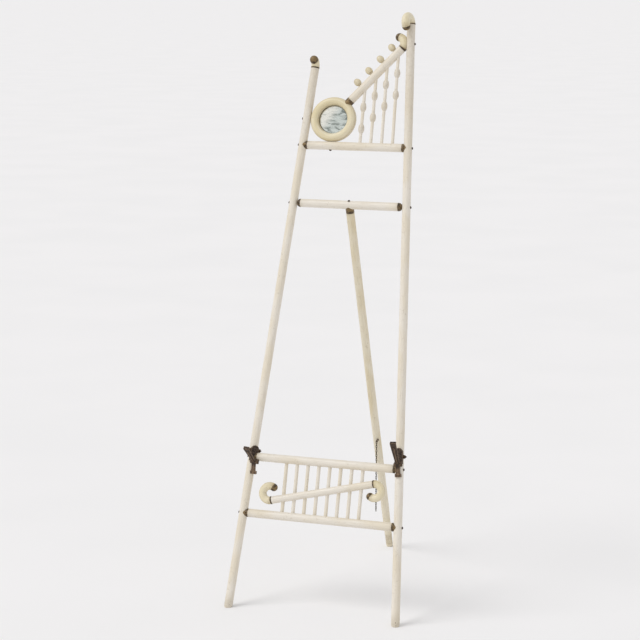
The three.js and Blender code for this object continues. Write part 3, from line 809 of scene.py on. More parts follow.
@dataclass(frozen=True)
class CastBronze(Finish):
    """Sand-cast bronze, dark in its hollows and rubbed brown where hands and pictures bear."""

    name: str = "cast bronze"
    slot: Slot = Slot.BRONZE
    hollow: Colour = tone(54, 44, 38)
    body: Colour = tone(90, 76, 66)
    rubbed: Colour = tone(136, 112, 88)
    mottle_scale: float = 260
    skin_scale: float = 1500
    speckle_scale: float = 820

    def recipe(self) -> bpy.types.Material:
        """Lays out the casting's skin, patina and rubbed arrises.

        Returns:
            The material.
        """
        r = Recipe(self.name)
        place = r.mark("straight", "Vector")
        wear = r.mark("wear")
        mottle = r.noise(place, self.mottle_scale, 5, 0.5)
        skin = r.noise(place, self.skin_scale, 3)
        colour = r.blend(r.step(mottle, 0.38, 0.62), self.hollow, self.body)
        speckle = r.step(r.noise(place, self.speckle_scale, 2), 0.56, 0.66, (0.0, 0.28))
        shine = r.step(r.sum(r.sum(wear, speckle), r.sum(mottle, 0.5, "MULTIPLY")), 0.42, 1.1)
        colour = r.blend(shine, colour, self.rubbed)
        rough = r.step(r.sum(shine, r.sum(skin, -0.4, "MULTIPLY")), -0.3, 0.8, (0.66, 0.36))
        r.relief(r.sum(skin, r.sum(mottle, 1.5, "MULTIPLY")), 0.14)
        return r.surface(colour=colour, roughness=rough, metallic=0.6)


@dataclass(frozen=True)
class DarkMetal(Finish):
    """Tarnished wire, screws or links, with rust or bright spots."""

    name: str
    slot: Slot
    base: Colour
    spots: Colour
    polish: Band
    spot_scale: float = 520
    drawing_scale: float = 2600

    def recipe(self) -> bpy.types.Material:
        """Lays out tarnish, spots and drawing marks.

        Returns:
            The material.
        """
        r = Recipe(self.name)
        place = r.mark("straight", "Vector")
        spots = r.noise(place, self.spot_scale, 4, 0.7)
        fine = r.noise(place, self.drawing_scale, 2)
        colour = r.blend(r.step(spots, 0.45, 0.62), self.base, self.spots)
        rough = r.step(spots, 0.3, 0.7, self.polish)
        r.relief(r.sum(fine, spots), 0.05)
        return r.surface(colour=colour, roughness=rough, metallic=0.85)


@dataclass(frozen=True)
class OldMirror(Finish):
    """Silvered glass that has clouded and gone black in specks round its edge."""

    name: str = "old silvering"
    slot: Slot = Slot.GLASS
    # Colour of the painted highlight on the silvering, toward the upper left.
    silver: Colour = tone(255, 254, 244)
    dulled: Colour = tone(226, 233, 227)
    cloud: Colour = tone(104, 114, 108)
    fox: Colour = tone(52, 44, 34)
    rim: Colour = tone(84, 80, 62)
    cloud_scale: float = 42
    line_scale: float = 95
    speck_scale: float = 420
    ripple_scale: float = 35

    def recipe(self) -> bpy.types.Material:
        """Lays out a painted highlight toward the upper left, clouds, wiping marks, black specks
        and a darker band round the edge next to the ring.

        Returns:
            The material.
        """
        r = Recipe(self.name)
        place = r.mark("straight", "Vector")
        wear = r.mark("wear")
        trim = r.mark("trim")
        clouds = r.noise(r.stretch(place, (1.0, 2.6, 1.0)), self.cloud_scale, 4, 0.7)
        lines = r.noise(r.stretch(place, (0.35, 3.0, 1.0)), self.line_scale, 3, 0.3)
        # Painted highlight: where wear is low, toward the upper left, the silvering is brightest
        # and free of clouds.
        shade = r.sum(r.step(clouds, 0.44, 0.64), r.step(wear, 0.1, 0.6), "MULTIPLY")
        shade = r.sum(shade, r.step(lines, 0.54, 0.7, (0.0, 0.45)), "MAXIMUM")
        colour = r.blend(r.step(wear, 0.15, 0.6), self.silver, self.dulled)
        colour = r.blend(r.sum(shade, 0.85, "MULTIPLY"), colour, self.cloud)
        # A darker band round the glass's edge, where it meets the ring.
        colour = r.blend(r.step(trim, -3.0, 0.6, (0.0, 0.75)), colour, self.rim)
        specks = r.noise(place, self.speck_scale, 4, 0.5)
        level = r.sum(specks, r.step(trim, -16.0, 0.0, (0.0, 0.1)))
        fox = r.step(level, 0.70, 0.74)
        colour = r.blend(fox, colour, self.fox)
        rough = r.sum(r.step(clouds, 0.4, 0.7, (0.05, 0.24)), r.sum(fox, 0.35, "MULTIPLY"))
        r.relief(r.noise(place, self.ripple_scale, 2), 0.05, 0.6)
        return r.surface(colour=colour, roughness=rough, metallic=0.92)


@dataclass(frozen=True)
class BoardWood(Finish):
    """Thin bare board, brown with age, grain running up it."""

    name: str = "bare board"
    slot: Slot = Slot.BOARD
    early: Colour = tone(158, 126, 88)
    late: Colour = tone(104, 76, 48)
    grain_scale: float = 420
    stain_scale: float = 60

    def recipe(self) -> bpy.types.Material:
        """Lays out the grain and its pores.

        Returns:
            The material.
        """
        r = Recipe(self.name)
        place = r.mark("straight", "Vector")
        grain = r.noise(r.stretch(place, (1.0, 0.06, 1.0)), self.grain_scale, 5, 0.5)
        stains = r.noise(place, self.stain_scale, 3)
        colour = r.blend(r.step(grain, 0.35, 0.68), self.early, self.late)
        colour = r.blend(r.step(stains, 0.52, 0.7, (0.0, 0.4)), colour, self.late)
        r.relief(grain, 0.12)
        return r.surface(colour=colour, roughness=r.step(grain, 0.3, 0.7, (0.66, 0.85)))


IVORY = BrushedPaint(
    "ivory paint", Slot.IVORY, tone(231, 224, 212), tone(226, 216, 197), tone(186, 174, 153)
)
AGED = BrushedPaint(
    "aged cream paint", Slot.AGED, tone(230, 220, 192), tone(221, 208, 171), tone(166, 146, 108),
    shading=0.3,
)
LEG = BrushedPaint(
    "shaded leg paint", Slot.LEG, tone(228, 219, 197), tone(220, 207, 176), tone(172, 156, 126)
)
BRONZE = CastBronze()
IRON = DarkMetal("rusted iron", Slot.IRON, tone(58, 48, 40), tone(104, 78, 54), (0.42, 0.68))
LINKS = DarkMetal("tarnished brass", Slot.CHAIN, tone(48, 40, 28), tone(98, 80, 52), (0.3, 0.52))
SILVER = OldMirror()
BOARD = BoardWood()


# ---------------------------------------------------------------------------------------------
# Fitting pieces to the frame
# ---------------------------------------------------------------------------------------------


def fitted(
    shape: Shape, node: str, finish: Finish, body: Body = Body.FRAME, crease: float = CREASE
) -> bpy.types.Object:
    """Puts a finished piece in the place of one CAD node.

    Args:
        shape: The piece's shape, in millimetres where it stands.
        node: The CAD node that it stands for.
        finish: Its finish.
        body: The CAD body that it rides on.
        crease: Angle from which an edge shows as an arris.

    Returns:
        The new piece.
    """
    mesh = shape.mesh(node, crease)
    piece = bpy.data.objects.new(f"{node}_finished", mesh)
    bpy.context.scene.collection.objects.link(piece)
    mesh.materials.append(finish.material())
    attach(piece, body.value)
    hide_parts(node)
    box = np.array([shape.points.min(0), shape.points.max(0)])
    gap = np.abs(box - np.array(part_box(node)) / MILLIMETRE).max()
    log.info("%s: %d points, box within %.2f mm", piece.name, len(shape.points), gap)
    return piece


@dataclass(frozen=True)
class LeaningFrame:
    """The front frame's measuring lines, up its own face."""

    lean: float = math.radians(15.9)
    foot_half_spread: float = 229.8
    closing: float = 0.0673
    dowel: float = 11.1
    fit: float = 11.1 + FIT_GAP
    top_rail: float = 1235.7
    pivot_rail: float = 1079.1
    lower_rail: float = 398.0
    bottom_rail: float = 249.5

    @property
    def splay(self) -> float:
        """How far an upright leans to the centre line."""
        return math.atan(self.closing)

    @property
    def face(self) -> float:
        """Level distance from an upright's axis to its surface."""
        return self.dowel / math.cos(self.splay)

    def upright_x(self, height: float) -> float:
        """Distance of an upright's axis from the centre line."""
        return self.foot_half_spread - self.closing * height

    def matrix(self) -> Matrix:
        """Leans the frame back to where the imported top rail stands.

        Returns:
            The matrix from the flat drawing to the room.
        """
        low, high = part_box("top_rail")
        middle = (low.y + high.y) / 2 / MILLIMETRE
        shift = middle - self.top_rail * math.sin(self.lean)
        return Matrix.Translation((0, shift, 0)) @ Matrix.Rotation(-self.lean, 4, "X")

    def upright_axis(self, side: Side) -> Matrix:
        """The upright's foot with z up its axis, on the leaning frame."""
        shift = Matrix.Translation((side.value * self.foot_half_spread, 0, 0))
        return self.matrix() @ shift @ Matrix.Rotation(-side.value * self.splay, 4, "Y")


FRAME = LeaningFrame()


def level_cut(place: Matrix) -> Cut:
    """Cut that levels a foot at the floor, for a piece that stands at a place."""
    across, deep, along, rise = place[2]
    return lambda x, y: -(across * x + deep * y + rise) / along


@dataclass(frozen=True)
class Crook:
    """A turned tip that curls: collar bead, shaft, scribed line and dome."""

    tube: float
    neck: float
    bend: float
    sweep: float
    spigot: float = 5.0
    spigot_length: float = 11.5
    bead: float = 1.1
    sides: int = 44

    def shape(self) -> Shape:
        """The curled crook, standing on its collar.

        Returns:
            The crook, curling toward its own +y.
        """
        tube = self.tube
        top = self.neck + self.bend * self.sweep
        blank = [
            (0, -self.spigot_length), (self.spigot, -self.spigot_length), (self.spigot, FIT_GAP),
            (tube - 0.4, FIT_GAP), *arc((tube - 0.65, 1.5), self.bead, (-80, 0), 4),
            *arc((tube - 0.65, 2.9), self.bead, (0, 55), 3), (tube, 3.9),
        ]
        shaft = filled([(tube, max(3.95, self.neck)), (tube, top)], 1.4)
        line = [
            (tube - 0.12, top + 0.2), (tube - 0.42, top + 0.5), (tube - 0.5, top + 0.7),
            (tube - 0.42, top + 0.9), (tube - 0.1, top + 1.25),
        ]
        profile = [*filled(blank, 1.0), *shaft, *line, *arc((0, top + 1.4), tube, (0, 90), 14)]
        straight = turned(profile, self.sides)
        marked = straight.trimmed([(-20, 3.7), (top - 0.3, top + 40)])
        marked = marked.rubbed([(-20, 4), (top - 2, top + 40)], 8)
        return marked.bent(self.neck, self.bend, self.sweep)


@dataclass
class Uprights:
    """The two splayed uprights and the crooks on their tops."""

    tops: dict[Side, float] = field(default_factory=lambda: {
        Side.LEFT: 1444.3, Side.RIGHT: 1566.0,
    })
    worn_radius: float = 9.9
    worn_height: float = 7.0
    # Painted shade starts this far up each upright and is full this much higher.
    handled_from: float = 1150.0
    handled_rise: float = 250.0
    crook_turns: dict[Side, float] = field(default_factory=lambda: {
        Side.LEFT: math.radians(-3), Side.RIGHT: math.radians(-9),
    })
    crooks: dict[Side, Crook] = field(default_factory=lambda: {
        Side.LEFT: Crook(11.1, 2.5, 17.2, math.radians(82)),
        Side.RIGHT: Crook(11.1, 0.5, 17.2, math.radians(218)),
    })

    def upright(self, side: Side) -> Shape:
        """One dowel, worn at its foot and bored for the crook's spigot.

        Args:
            side: Which upright.

        Returns:
            The upright where it stands.
        """
        axis = FRAME.upright_axis(side)
        length = self.tops[side] / math.cos(FRAME.splay)
        r = FRAME.dowel
        worn = self.worn_radius
        foot = [(0, 0), (4, 0), (worn - 1, 0), (worn, 0.8), (r - 0.35, 4.6)]
        body = filled([(r, self.worn_height), (r, length - 0.4)], 9.0)
        profile = filled([*foot, (r, self.worn_height)], 2.4)[:-1] + body + bored_end(r, length)
        shape = turned(profile, start=level_cut(axis), zone=self.worn_height, uneven=0.1)
        shape = shape.rubbed([(-9, 12)], 26)
        # Painted shade: from 1150 mm up its axis each upright darkens toward the grime colour
        # through its wear mark, fully by 1400 mm.
        top_shade = np.clip((shape.straight[:, 2] - self.handled_from) / self.handled_rise, 0, 1)
        shape.wear = np.maximum(shape.wear, 0.6 * top_shade)
        return shape.placed(axis)

    def crook_place(self, side: Side) -> Matrix:
        """Where a crook stands on its upright.

        Args:
            side: Which upright.

        Returns:
            The place of its collar.
        """
        length = self.tops[side] / math.cos(FRAME.splay)
        turn = Matrix.Rotation(math.pi + self.crook_turns[side], 4, "Z")
        return FRAME.upright_axis(side) @ Matrix.Translation((0, 0, length)) @ turn

    def build(self) -> None:
        """Makes both uprights with their crooks."""
        for side in Side:
            name = f"{side.word}_upright"
            fitted(self.upright(side), name, IVORY)
            crook = self.crooks[side].shape().placed(self.crook_place(side))
            fitted(crook, f"{name}_crook", AGED)


@dataclass
class CrossRails:
    """The three fixed rails, coped over the uprights and bronze-painted at both tips."""

    trim_reach: float = 15.4
    stations: tuple[float, ...] = (0, 0.3, 1, 2, 3.5, 5.5, 8, 11, 13, 14.5, 15.4, 16.3, 18, 22)

    def cope(self, x: np.ndarray, y: np.ndarray) -> np.ndarray:
        """Height of the saddle cut above the upright's axis; x is to the back and y up."""
        reach = np.sqrt(FRAME.fit**2 - np.minimum(x * x, FRAME.fit**2))
        return FRAME.closing * y + reach / math.cos(FRAME.splay)

    def rail(self, height: float) -> Shape:
        """One rail on the leaning frame, at a height up it.

        Args:
            height: Height of the rail's axis up the frame.

        Returns:
            The rail where it stands.
        """
        reach, r = FRAME.upright_x(height), FRAME.dowel
        ends, zone = coped_face(r), self.stations[-1]
        near = [(r, z) for z in self.stations]
        middle = filled([(r, zone), (r, 2 * reach - zone)], 9.0)[1:-1]
        far = [(radius, 2 * reach - z) for radius, z in reversed(ends + near)]
        shape = turned(
            ends + near + middle + far, COPED_SIDES, start=self.cope,
            end=lambda x, y: 2 * reach - self.cope(x, y), uneven=HAND_WORK,
        )
        bands = [(-9, self.trim_reach), (2 * reach - self.trim_reach, 2 * reach + 9)]
        shape = shape.trimmed(bands).rubbed(bands, 9)
        return shape.placed(FRAME.matrix() @ standing(Vector((-reach, 0, height)), ACROSS, BACK))

    def build(self) -> None:
        """Makes the top, lower and bottom rails."""
        for name in ("top_rail", "lower_rail", "bottom_rail"):
            fitted(self.rail(getattr(FRAME, name)), name, IVORY)


@dataclass
class RoundMirror:
    """Turned ring, oval with age, and its bevelled glass and backboard."""

    outer: float = 62.7
    opening: float = 39.7
    shrinkage: float = 0.955
    back: float = 9.0
    rebate: float = 43.4
    rebate_front: float = 1.5
    glass_thickness: float = 3.0
    field_apothem: float = 30.0
    bevel_run: float = 10.0
    ring_sides: int = 128
    glass_sides: int = 96

    @property
    def half_width(self) -> float:
        """Half the width of the ring's face."""
        return (self.outer - self.opening) / 2

    @property
    def height(self) -> float:
        """Height of the ring's centre up the frame."""
        return FRAME.top_rail + FRAME.dowel + self.outer * self.shrinkage + FIT_GAP

    @property
    def x(self) -> float:
        """Distance of the ring's centre from the centre line, to the viewer's left."""
        inset = (FRAME.dowel + self.outer + FIT_GAP) / math.cos(FRAME.splay)
        return -(FRAME.upright_x(self.height) - inset)

    def matrix(self) -> Matrix:
        """The ring's centre with z to the viewer.

        Returns:
            The matrix from the ring to the room, with its shrinkage.
        """
        shift = Matrix.Translation((self.x, 0, self.height))
        shrink = Matrix.Diagonal((1, self.shrinkage, 1, 1))
        return FRAME.matrix() @ shift @ Matrix.Rotation(math.pi / 2, 4, "X") @ shrink

    def ring(self) -> Shape:
        """Half-round face, flat back and a rebate for the glass.

        Returns:
            The ring, lying flat.
        """
        crown = arc((self.outer - self.half_width, 0), self.half_width, (0, 180), 36)
        flat = [
            (self.rebate + 0.4, -self.back), (self.outer - 2.5, -self.back),
            (self.outer - 0.7, 0.7 - self.back), (self.outer, 2.5 - self.back),
        ]
        inner = [
            (self.opening, -self.rebate_front + 0.3), (self.opening + 0.3, -self.rebate_front),
            (self.rebate, -self.rebate_front), (self.rebate, 0.4 - self.back),
        ]
        section = filled(eased([*flat, *crown, *inner]), 3.0)
        shape = skinned([level_row(r, z, self.ring_sides) for r, z in section], closed=True)
        reach = np.hypot(shape.points[:, 0], shape.points[:, 1])
        # Both edges of the ring are darkened toward the grime colour and chip a little more.
        edge = np.maximum(self.opening + 2.2 - reach, reach - self.outer + 1.4)
        edge_darkening = np.clip(edge / 2.0 + 0.5, 0, 1) * 0.9
        middle = 51
        round_it = np.arctan2(shape.points[:, 1], shape.points[:, 0]) * middle
        turning = np.stack([(reach - middle) * 3, shape.points[:, 2], round_it], axis=1)
        return replace(shape, straight=turning, wear=edge_darkening)

    def glass(self) -> Shape:
        """Flat eight-sided field with a shallow bevel; its wear runs from 0 at the painted
        highlight toward the upper left to 1 on the plain silvering.

        Returns:
            The glass, lying flat.
        """
        radius = self.rebate - FIT_GAP
        back = -self.rebate_front - FIT_GAP - self.glass_thickness
        front = back + self.glass_thickness
        facet = facets(8, self.glass_sides)
        rows = [np.array([[0, 0, front]])]
        for share in (0.25, 0.5, 0.75, 0.985, 1.0, 1.03, 1.15, 1.3, 1.43):
            reach = np.minimum(self.field_apothem * share / facet, radius)
            depth = np.maximum(reach * facet - self.field_apothem, 0) / self.bevel_run
            rows.append(level_row(reach, front - depth, self.glass_sides))
        rim = level_row(radius, back + 0.4, self.glass_sides)
        under = rim * [1, 1, 0] + [0, 0, back]
        rows += [rim, under * [0.99, 0.99, 1], np.array([[0, 0, back]])]
        shape = skinned([row[::-1] for row in rows][::-1])
        reach = np.hypot(shape.points[:, 0], shape.points[:, 1])
        trim = reach - self.opening + 0.6
        # Wear is lowest toward the upper left, where the painted highlight is.
        beyond_highlight = np.clip(0.5 + shape.points[:, 0] / 70 - shape.points[:, 1] / 110, 0, 1)
        return replace(shape, trim=trim, wear=beyond_highlight)

    def board(self) -> Shape:
        """Backboard pressed in behind the glass.

        Returns:
            The board, lying flat.
        """
        r = self.rebate - FIT_GAP
        front = -self.rebate_front - self.glass_thickness - 2 * FIT_GAP
        back = FIT_GAP - self.back
        profile = [(0, back), (r - 0.7, back), (r, back + 0.7), (r, front), (0, front)]
        return turned(filled(eased(profile), 5.0), self.glass_sides)

    def build(self) -> None:
        """Makes the ring, glass and board."""
        place = self.matrix()
        fitted(self.ring().placed(place), "mirror_ring", AGED)
        fitted(self.glass().placed(place), "mirror_glass", SILVER, crease=math.radians(3))
        fitted(self.board().placed(place), "mirror_backboard", BOARD)


@dataclass
class UpperFan:
    """Diagonal from the ring to its crook, with knobs above and beaded spindles below."""

    mirror: RoundMirror
    count: int = 4
    angle: float = math.radians(48)
    aim: float = 74.1
    reach: float = 257.6
    foot_reach: float = 51.2
    trim_reach: float = 67.6
    crook: Crook = Crook(11.1, 0.5, 19.0, math.radians(117))
    crook_turn: float = math.radians(8)
    knob_reach: float = 112.4
    knob_pitch: float = 42.8
    knob_length: float = 22.5
    knob_radius: float = 9.3
    foot: Band = (13.0, 30.0)
    head: Band = (13.4, 27.9)
    stick: float = 4.2
    bead: float = 8.2
    bead_half: float = 12.2
    bead_drops: Band = (99.3, 41.0)
    tenon: float = 7.0

    @property
    def way(self) -> Vector:
        """Along the diagonal, up to the crook."""
        return Vector((math.cos(self.angle), 0, math.sin(self.angle)))

    @property
    def up(self) -> Vector:
        """Square to the diagonal, to its upper side."""
        return Vector((-math.sin(self.angle), 0, math.cos(self.angle)))

    def on_diagonal(self, reach: float) -> Vector:
        """A point on the diagonal's axis, at a distance from where it crosses the ring's."""
        return Vector((self.mirror.x, 0, FRAME.top_rail + self.aim)) + self.way * reach

    def ring_cope(self, x: np.ndarray, y: np.ndarray) -> np.ndarray:
        """Where a line up the diagonal leaves the ring; x is to the back, y to the upper side.

        Args:
            x: Places in the diagonal's section, to the back.
            y: Places to its upper side.

        Returns:
            Height of the cut along the diagonal's axis.
        """
        m, sine, cosine = self.mirror, math.sin(self.angle), math.cos(self.angle)
        half = m.half_width + 1.5 * FIT_GAP
        crown = np.sqrt(np.maximum(half**2 - np.minimum(x, 0) ** 2, 0))
        reach = m.outer - m.half_width + crown
        lift = FRAME.top_rail + self.aim - m.height
        k = m.shrinkage
        a = cosine**2 + (sine / k) ** 2
        b = -2 * y * sine * cosine + 2 * (y * cosine + lift) * sine / k**2
        c = (y * sine) ** 2 + ((y * cosine + lift) / k) ** 2 - reach**2
        return (-b + np.sqrt(b * b - 4 * a * c)) / (2 * a)

    def diagonal(self) -> Shape:
        """The diagonal's dowel, hollowed over the ring at its foot.

        Returns:
            The diagonal where it stands.
        """
        r, first, last = FRAME.dowel, self.foot_reach, self.reach
        near = [(r, first + z) for z in CrossRails().stations]
        body = filled([near[-1], (r, last - 0.4)], 7.0)[1:]
        profile = coped_face(r, first) + near + body + bored_end(r, last)
        shape = turned(profile, COPED_SIDES, start=self.ring_cope, uneven=HAND_WORK)
        shape = shape.trimmed([(0, self.trim_reach)]).rubbed([(0, self.trim_reach)], 9)
        return shape.placed(FRAME.matrix() @ standing(self.on_diagonal(0), self.way, BACK))

    def curled(self) -> Shape:
        """The crook, hollowed a little where it lies against the right upright.

        Returns:
            The crook where it stands.
        """
        curl = self.up * math.cos(self.crook_turn) + BACK * math.sin(self.crook_turn)
        place = standing(self.on_diagonal(self.reach), self.way, curl.cross(self.way))
        shape = self.crook.shape().placed(FRAME.matrix() @ place)
        return shape.cleared(FRAME.upright_axis(Side.RIGHT), FRAME.fit)

    def knob(self, index: int) -> Shape:
        """One oval knob on its pin.

        Args:
            index: Its number from the ring up.

        Returns:
            The knob where it stands.
        """
        base = FRAME.dowel
        middle, half = base + self.knob_length / 2, self.knob_length / 2
        angles = np.radians(np.linspace(-54, 90, 21))
        swell = [
            (max(self.knob_radius * math.cos(a), 0), middle + half * math.sin(a)) for a in angles
        ]
        pin = [(0, base - self.tenon), (2.6, base - self.tenon), (2.6, base + 0.2)]
        neck = [(4.9, base + 0.2), (5.3, base + 0.6)]
        shape = turned([*filled(pin + neck, 2.0), *swell], 36)
        shape = shape.rubbed([(base, base + 3), (base + 20, base + 23)], 5)
        shape.wear = np.maximum(shape.wear, 0.55)
        start = self.on_diagonal(self.knob_reach + self.knob_pitch * index)
        return shape.placed(FRAME.matrix() @ standing(start, self.up, BACK))

    def spindle(self, index: int) -> Shape:
        """One stick with its two beads, from the top rail to the diagonal's underside.

        Args:
            index: Its number from the ring out.

        Returns:
            The spindle where it stands.
        """
        foot = Vector((self.foot[0] + self.foot[1] * index, 0, FRAME.top_rail + FRAME.dowel))
        x = self.head[0] + self.head[1] * index
        rise = FRAME.top_rail + self.aim + (x - self.mirror.x) * math.tan(self.angle)
        head = Vector((x, 0, rise - FRAME.dowel / math.cos(self.angle)))
        way = head - foot
        length = way.length
        lean = math.acos(self.stick / self.bead)
        stick, scribed, tenon = self.stick, self.stick - 0.35, self.tenon
        profile: Profile = [(0, -tenon), (stick - 0.5, -tenon), (stick, 0.7 - tenon)]
        for drop in self.bead_drops:
            turns, middle = np.linspace(-lean, lean, 19), length - drop
            bead = [
                (self.bead * math.cos(a), middle + self.bead_half * math.sin(a) / math.sin(lean))
                for a in turns
            ]
            low, high = bead[0][1], bead[-1][1]
            profile += [(stick, low - 0.9), (scribed, low - 0.25), *bead]
            profile += [(scribed, high + 0.25), (stick, high + 0.9)]
        profile += [(stick, length + tenon), (0, length + tenon)]
        beads = [(length - drop - 7, length - drop + 7) for drop in self.bead_drops]
        shape = turned(filled(profile, 6.0), STICK_SIDES).rubbed(beads, 7)
        shape.wear *= 0.75
        return shape.placed(FRAME.matrix() @ standing(foot, way, BACK))

    def build(self) -> None:
        """Makes the diagonal, its crook, the knobs and the spindles."""
        fitted(self.diagonal(), "upper_diagonal_rail", IVORY)
        fitted(self.curled(), "upper_diagonal_crook", AGED)
        for index in range(self.count):
            fitted(self.knob(index), f"knob_{index + 1}", AGED)
            fitted(self.spindle(index), f"upper_spindle_{index + 1}", IVORY)


@dataclass
class LowerGallery:
    """Eight plain spindles that pass through a slim diagonal with a crook at each end."""

    pitch: float = 30.1
    count: int = 8
    stick: float = 4.7
    slim: float = 9.8
    angle: float = math.radians(13.5)
    middle: float = 321.2
    half_length: float = 139.8
    tenon: float = 7.0
    crooks: dict[Side, Crook] = field(default_factory=lambda: {
        Side.LEFT: Crook(10.2, 4.6, 19.0, math.radians(222)),
        Side.RIGHT: Crook(10.2, 1.5, 18.2, math.radians(224)),
    })

    @property
    def way(self) -> Vector:
        """Along the diagonal, to the viewer's right."""
        return Vector((math.cos(self.angle), 0, math.sin(self.angle)))

    @property
    def up(self) -> Vector:
        """Square to the diagonal, to its upper side."""
        return Vector((-math.sin(self.angle), 0, math.cos(self.angle)))

    def spindle(self, index: int) -> Shape:
        """One plain spindle between the bottom and the lower rail.

        Args:
            index: Its number from the viewer's left.

        Returns:
            The spindle where it stands.
        """
        x = (index - (self.count - 1) / 2) * self.pitch
        bottom = FRAME.bottom_rail + FRAME.dowel - self.tenon
        length = FRAME.lower_rail - FRAME.dowel + self.tenon - bottom
        r, tip = self.stick, self.stick - 0.8
        profile = [(0, 0), (tip, 0), (r, 1.2), (r, length - 1.2), (tip, length), (0, length)]
        shape = turned(filled(profile, 6.0), STICK_SIDES, uneven=0.06)
        crossing = self.middle + x * math.tan(self.angle) - bottom
        bands = [(0, 8), (crossing - 12, crossing + 12), (length - 8, length)]
        shape = shape.rubbed(bands, 7)
        shape.wear *= 0.6
        return shape.placed(FRAME.matrix() @ Matrix.Translation((x, 0, bottom)))

    def diagonal(self) -> Shape:
        """The slim diagonal, bored at both ends for the crooks.

        Returns:
            The diagonal where it stands.
        """
        r, length = self.slim, 2 * self.half_length
        ease = 0.3
        start = [(0, BORE_DEPTH), (BORE, BORE_DEPTH), (BORE, 0), (r - ease, 0)]
        body = filled([(r, ease), (r, length - ease)], 6.0)
        shape = turned([*start, *body, *bored_end(r, length, ease)], uneven=HAND_WORK)
        low = Vector((0, 0, self.middle)) - self.way * self.half_length
        return shape.placed(FRAME.matrix() @ standing(low, self.way, BACK))

    def crook(self, side: Side) -> Shape:
        """The crook at one end: the left curls over and the right under.

        Args:
            side: Which end.

        Returns:
            The crook where it stands.
        """
        way, curl = self.way * side.value, self.up * -side.value
        start = Vector((0, 0, self.middle)) + way * self.half_length
        place = standing(start, way, curl.cross(way))
        return self.crooks[side].shape().placed(FRAME.matrix() @ place)

    def build(self) -> None:
        """Makes the spindles, the diagonal and its crooks."""
        fitted(self.diagonal(), "lower_diagonal_rail", IVORY)
        for side in Side:
            fitted(self.crook(side), f"lower_diagonal_crook_{side.word}", AGED)
        for index in range(self.count):
            fitted(self.spindle(index), f"lower_spindle_{index + 1}", IVORY)


@dataclass
class RoundHeadScrew:
    """A slotted round-head wood screw."""

    head: float = 3.5
    head_height: float = 2.3
    shank: float = 1.7
    slot_width: float = 0.8
    slot_depth: float = 1.1
    stand_off: float = 0.45
    sides: int = 48

    def shape(self, length: float, slot_turn: float) -> Shape:
        """The screw with its head's underside at nought and its point up z.

        Args:
            length: From under the head to the point.
            slot_turn: How far the slot has turned, in radians.

        Returns:
            The screw's shape.
        """
        rows: list[np.ndarray] = []
        angles = np.arange(self.sides) * (2 * math.pi / self.sides)
        slot_half = self.slot_width / 2
        for share in (0.0, 0.115, 0.125, 0.3, 0.5, 0.7, 0.85, 0.95, 1.0):
            turn = angles if share else angles[:1]
            reach = self.head * share
            x, y = reach * np.cos(turn), reach * np.sin(turn)
            z = -self.head_height * math.sqrt(max(1 - share**2, 0)) * np.ones(len(turn))
            in_slot = np.abs(y) < slot_half + TINY
            z = np.where(in_slot, np.minimum(z + self.slot_depth, 0), z)
            if share > 0.125:
                near = (np.abs(y) < slot_half + reach * 0.075) & ~in_slot
                y = np.where(near, np.sign(y) * slot_half * 1.02, y)
            rows.append(np.stack([x, y, z], axis=1))
        shank = self.shank
        for radius, height in ((shank, 0.05), (shank, length - 6), (shank * 0.6, length - 2)):
            rows.append(level_row(radius, height, self.sides))
        rows.append(np.array([[0, 0, length]]))
        return skinned(rows).placed(Matrix.Rotation(slot_turn, 4, "Z"))

    def driven(
        self, name: str, start: Vector, way: Vector, length: float, body: Body, group: Matrix
    ) -> None:
        """Drives one screw and fits it to its node.

        Args:
            name: The screw's node.
            start: Under the head, on its group.
            way: Where it is driven.
            length: From under the head to the point.
            body: The body that it rides on.
            group: Place of the group.
        """
        side = ALONG if abs(way.z) < 0.5 else ACROSS
        turn = (zlib.crc32(name.encode()) % 180) * math.pi / 180
        shape = self.shape(length, turn).placed(group @ standing(start, way, side))
        fitted(shape, name, IRON, body)


@dataclass
class FrameScrews:
    """The screws that hold rails, ring and upper crook."""

    mirror: RoundMirror
    screw: RoundHeadScrew = field(default_factory=RoundHeadScrew)
    rail_length: float = 44.0
    ring_side_length: float = 36.0
    ring_bottom_length: float = 37.0
    crook_length: float = 31.0
    crook_height: float = 1514.3

    def sideways(self, name: str, side: Side, height: float, length: float, body: Body) -> None:
        """Drives a screw level through an upright from outside.

        Args:
            name: The screw's node.
            side: The upright.
            height: Height up the frame.
            length: From under the head to the point.
            body: The body that it rides on.
        """
        x = side.value * (FRAME.upright_x(height) + FRAME.face + self.screw.stand_off)
        way = ACROSS * -side.value
        self.screw.driven(name, Vector((x, 0, height)), way, length, body, FRAME.matrix())

    def build(self) -> None:
        """Drives every screw of the front frame."""
        for side in Side:
            for rail in ("top_rail", "lower_rail", "bottom_rail"):
                name = f"{rail}_screw_{side.word}"
                self.sideways(name, side, getattr(FRAME, rail), self.rail_length, Body.FRAME)
            name = f"pivot_screw_{side.word}"
            self.sideways(name, side, FRAME.pivot_rail, self.rail_length, Body.REAR_LEG)
        height, length = self.mirror.height, self.ring_side_length
        self.sideways("mirror_side_screw", Side.LEFT, height, length, Body.FRAME)
        height, length = self.crook_height, self.crook_length
        self.sideways("upper_crook_screw", Side.RIGHT, height, length, Body.FRAME)
        below = Vector((self.mirror.x, 0, FRAME.top_rail - FRAME.dowel - self.screw.stand_off))
        length = self.ring_bottom_length
        self.screw.driven("mirror_bottom_screw", below, ALONG, length, Body.FRAME, FRAME.matrix())


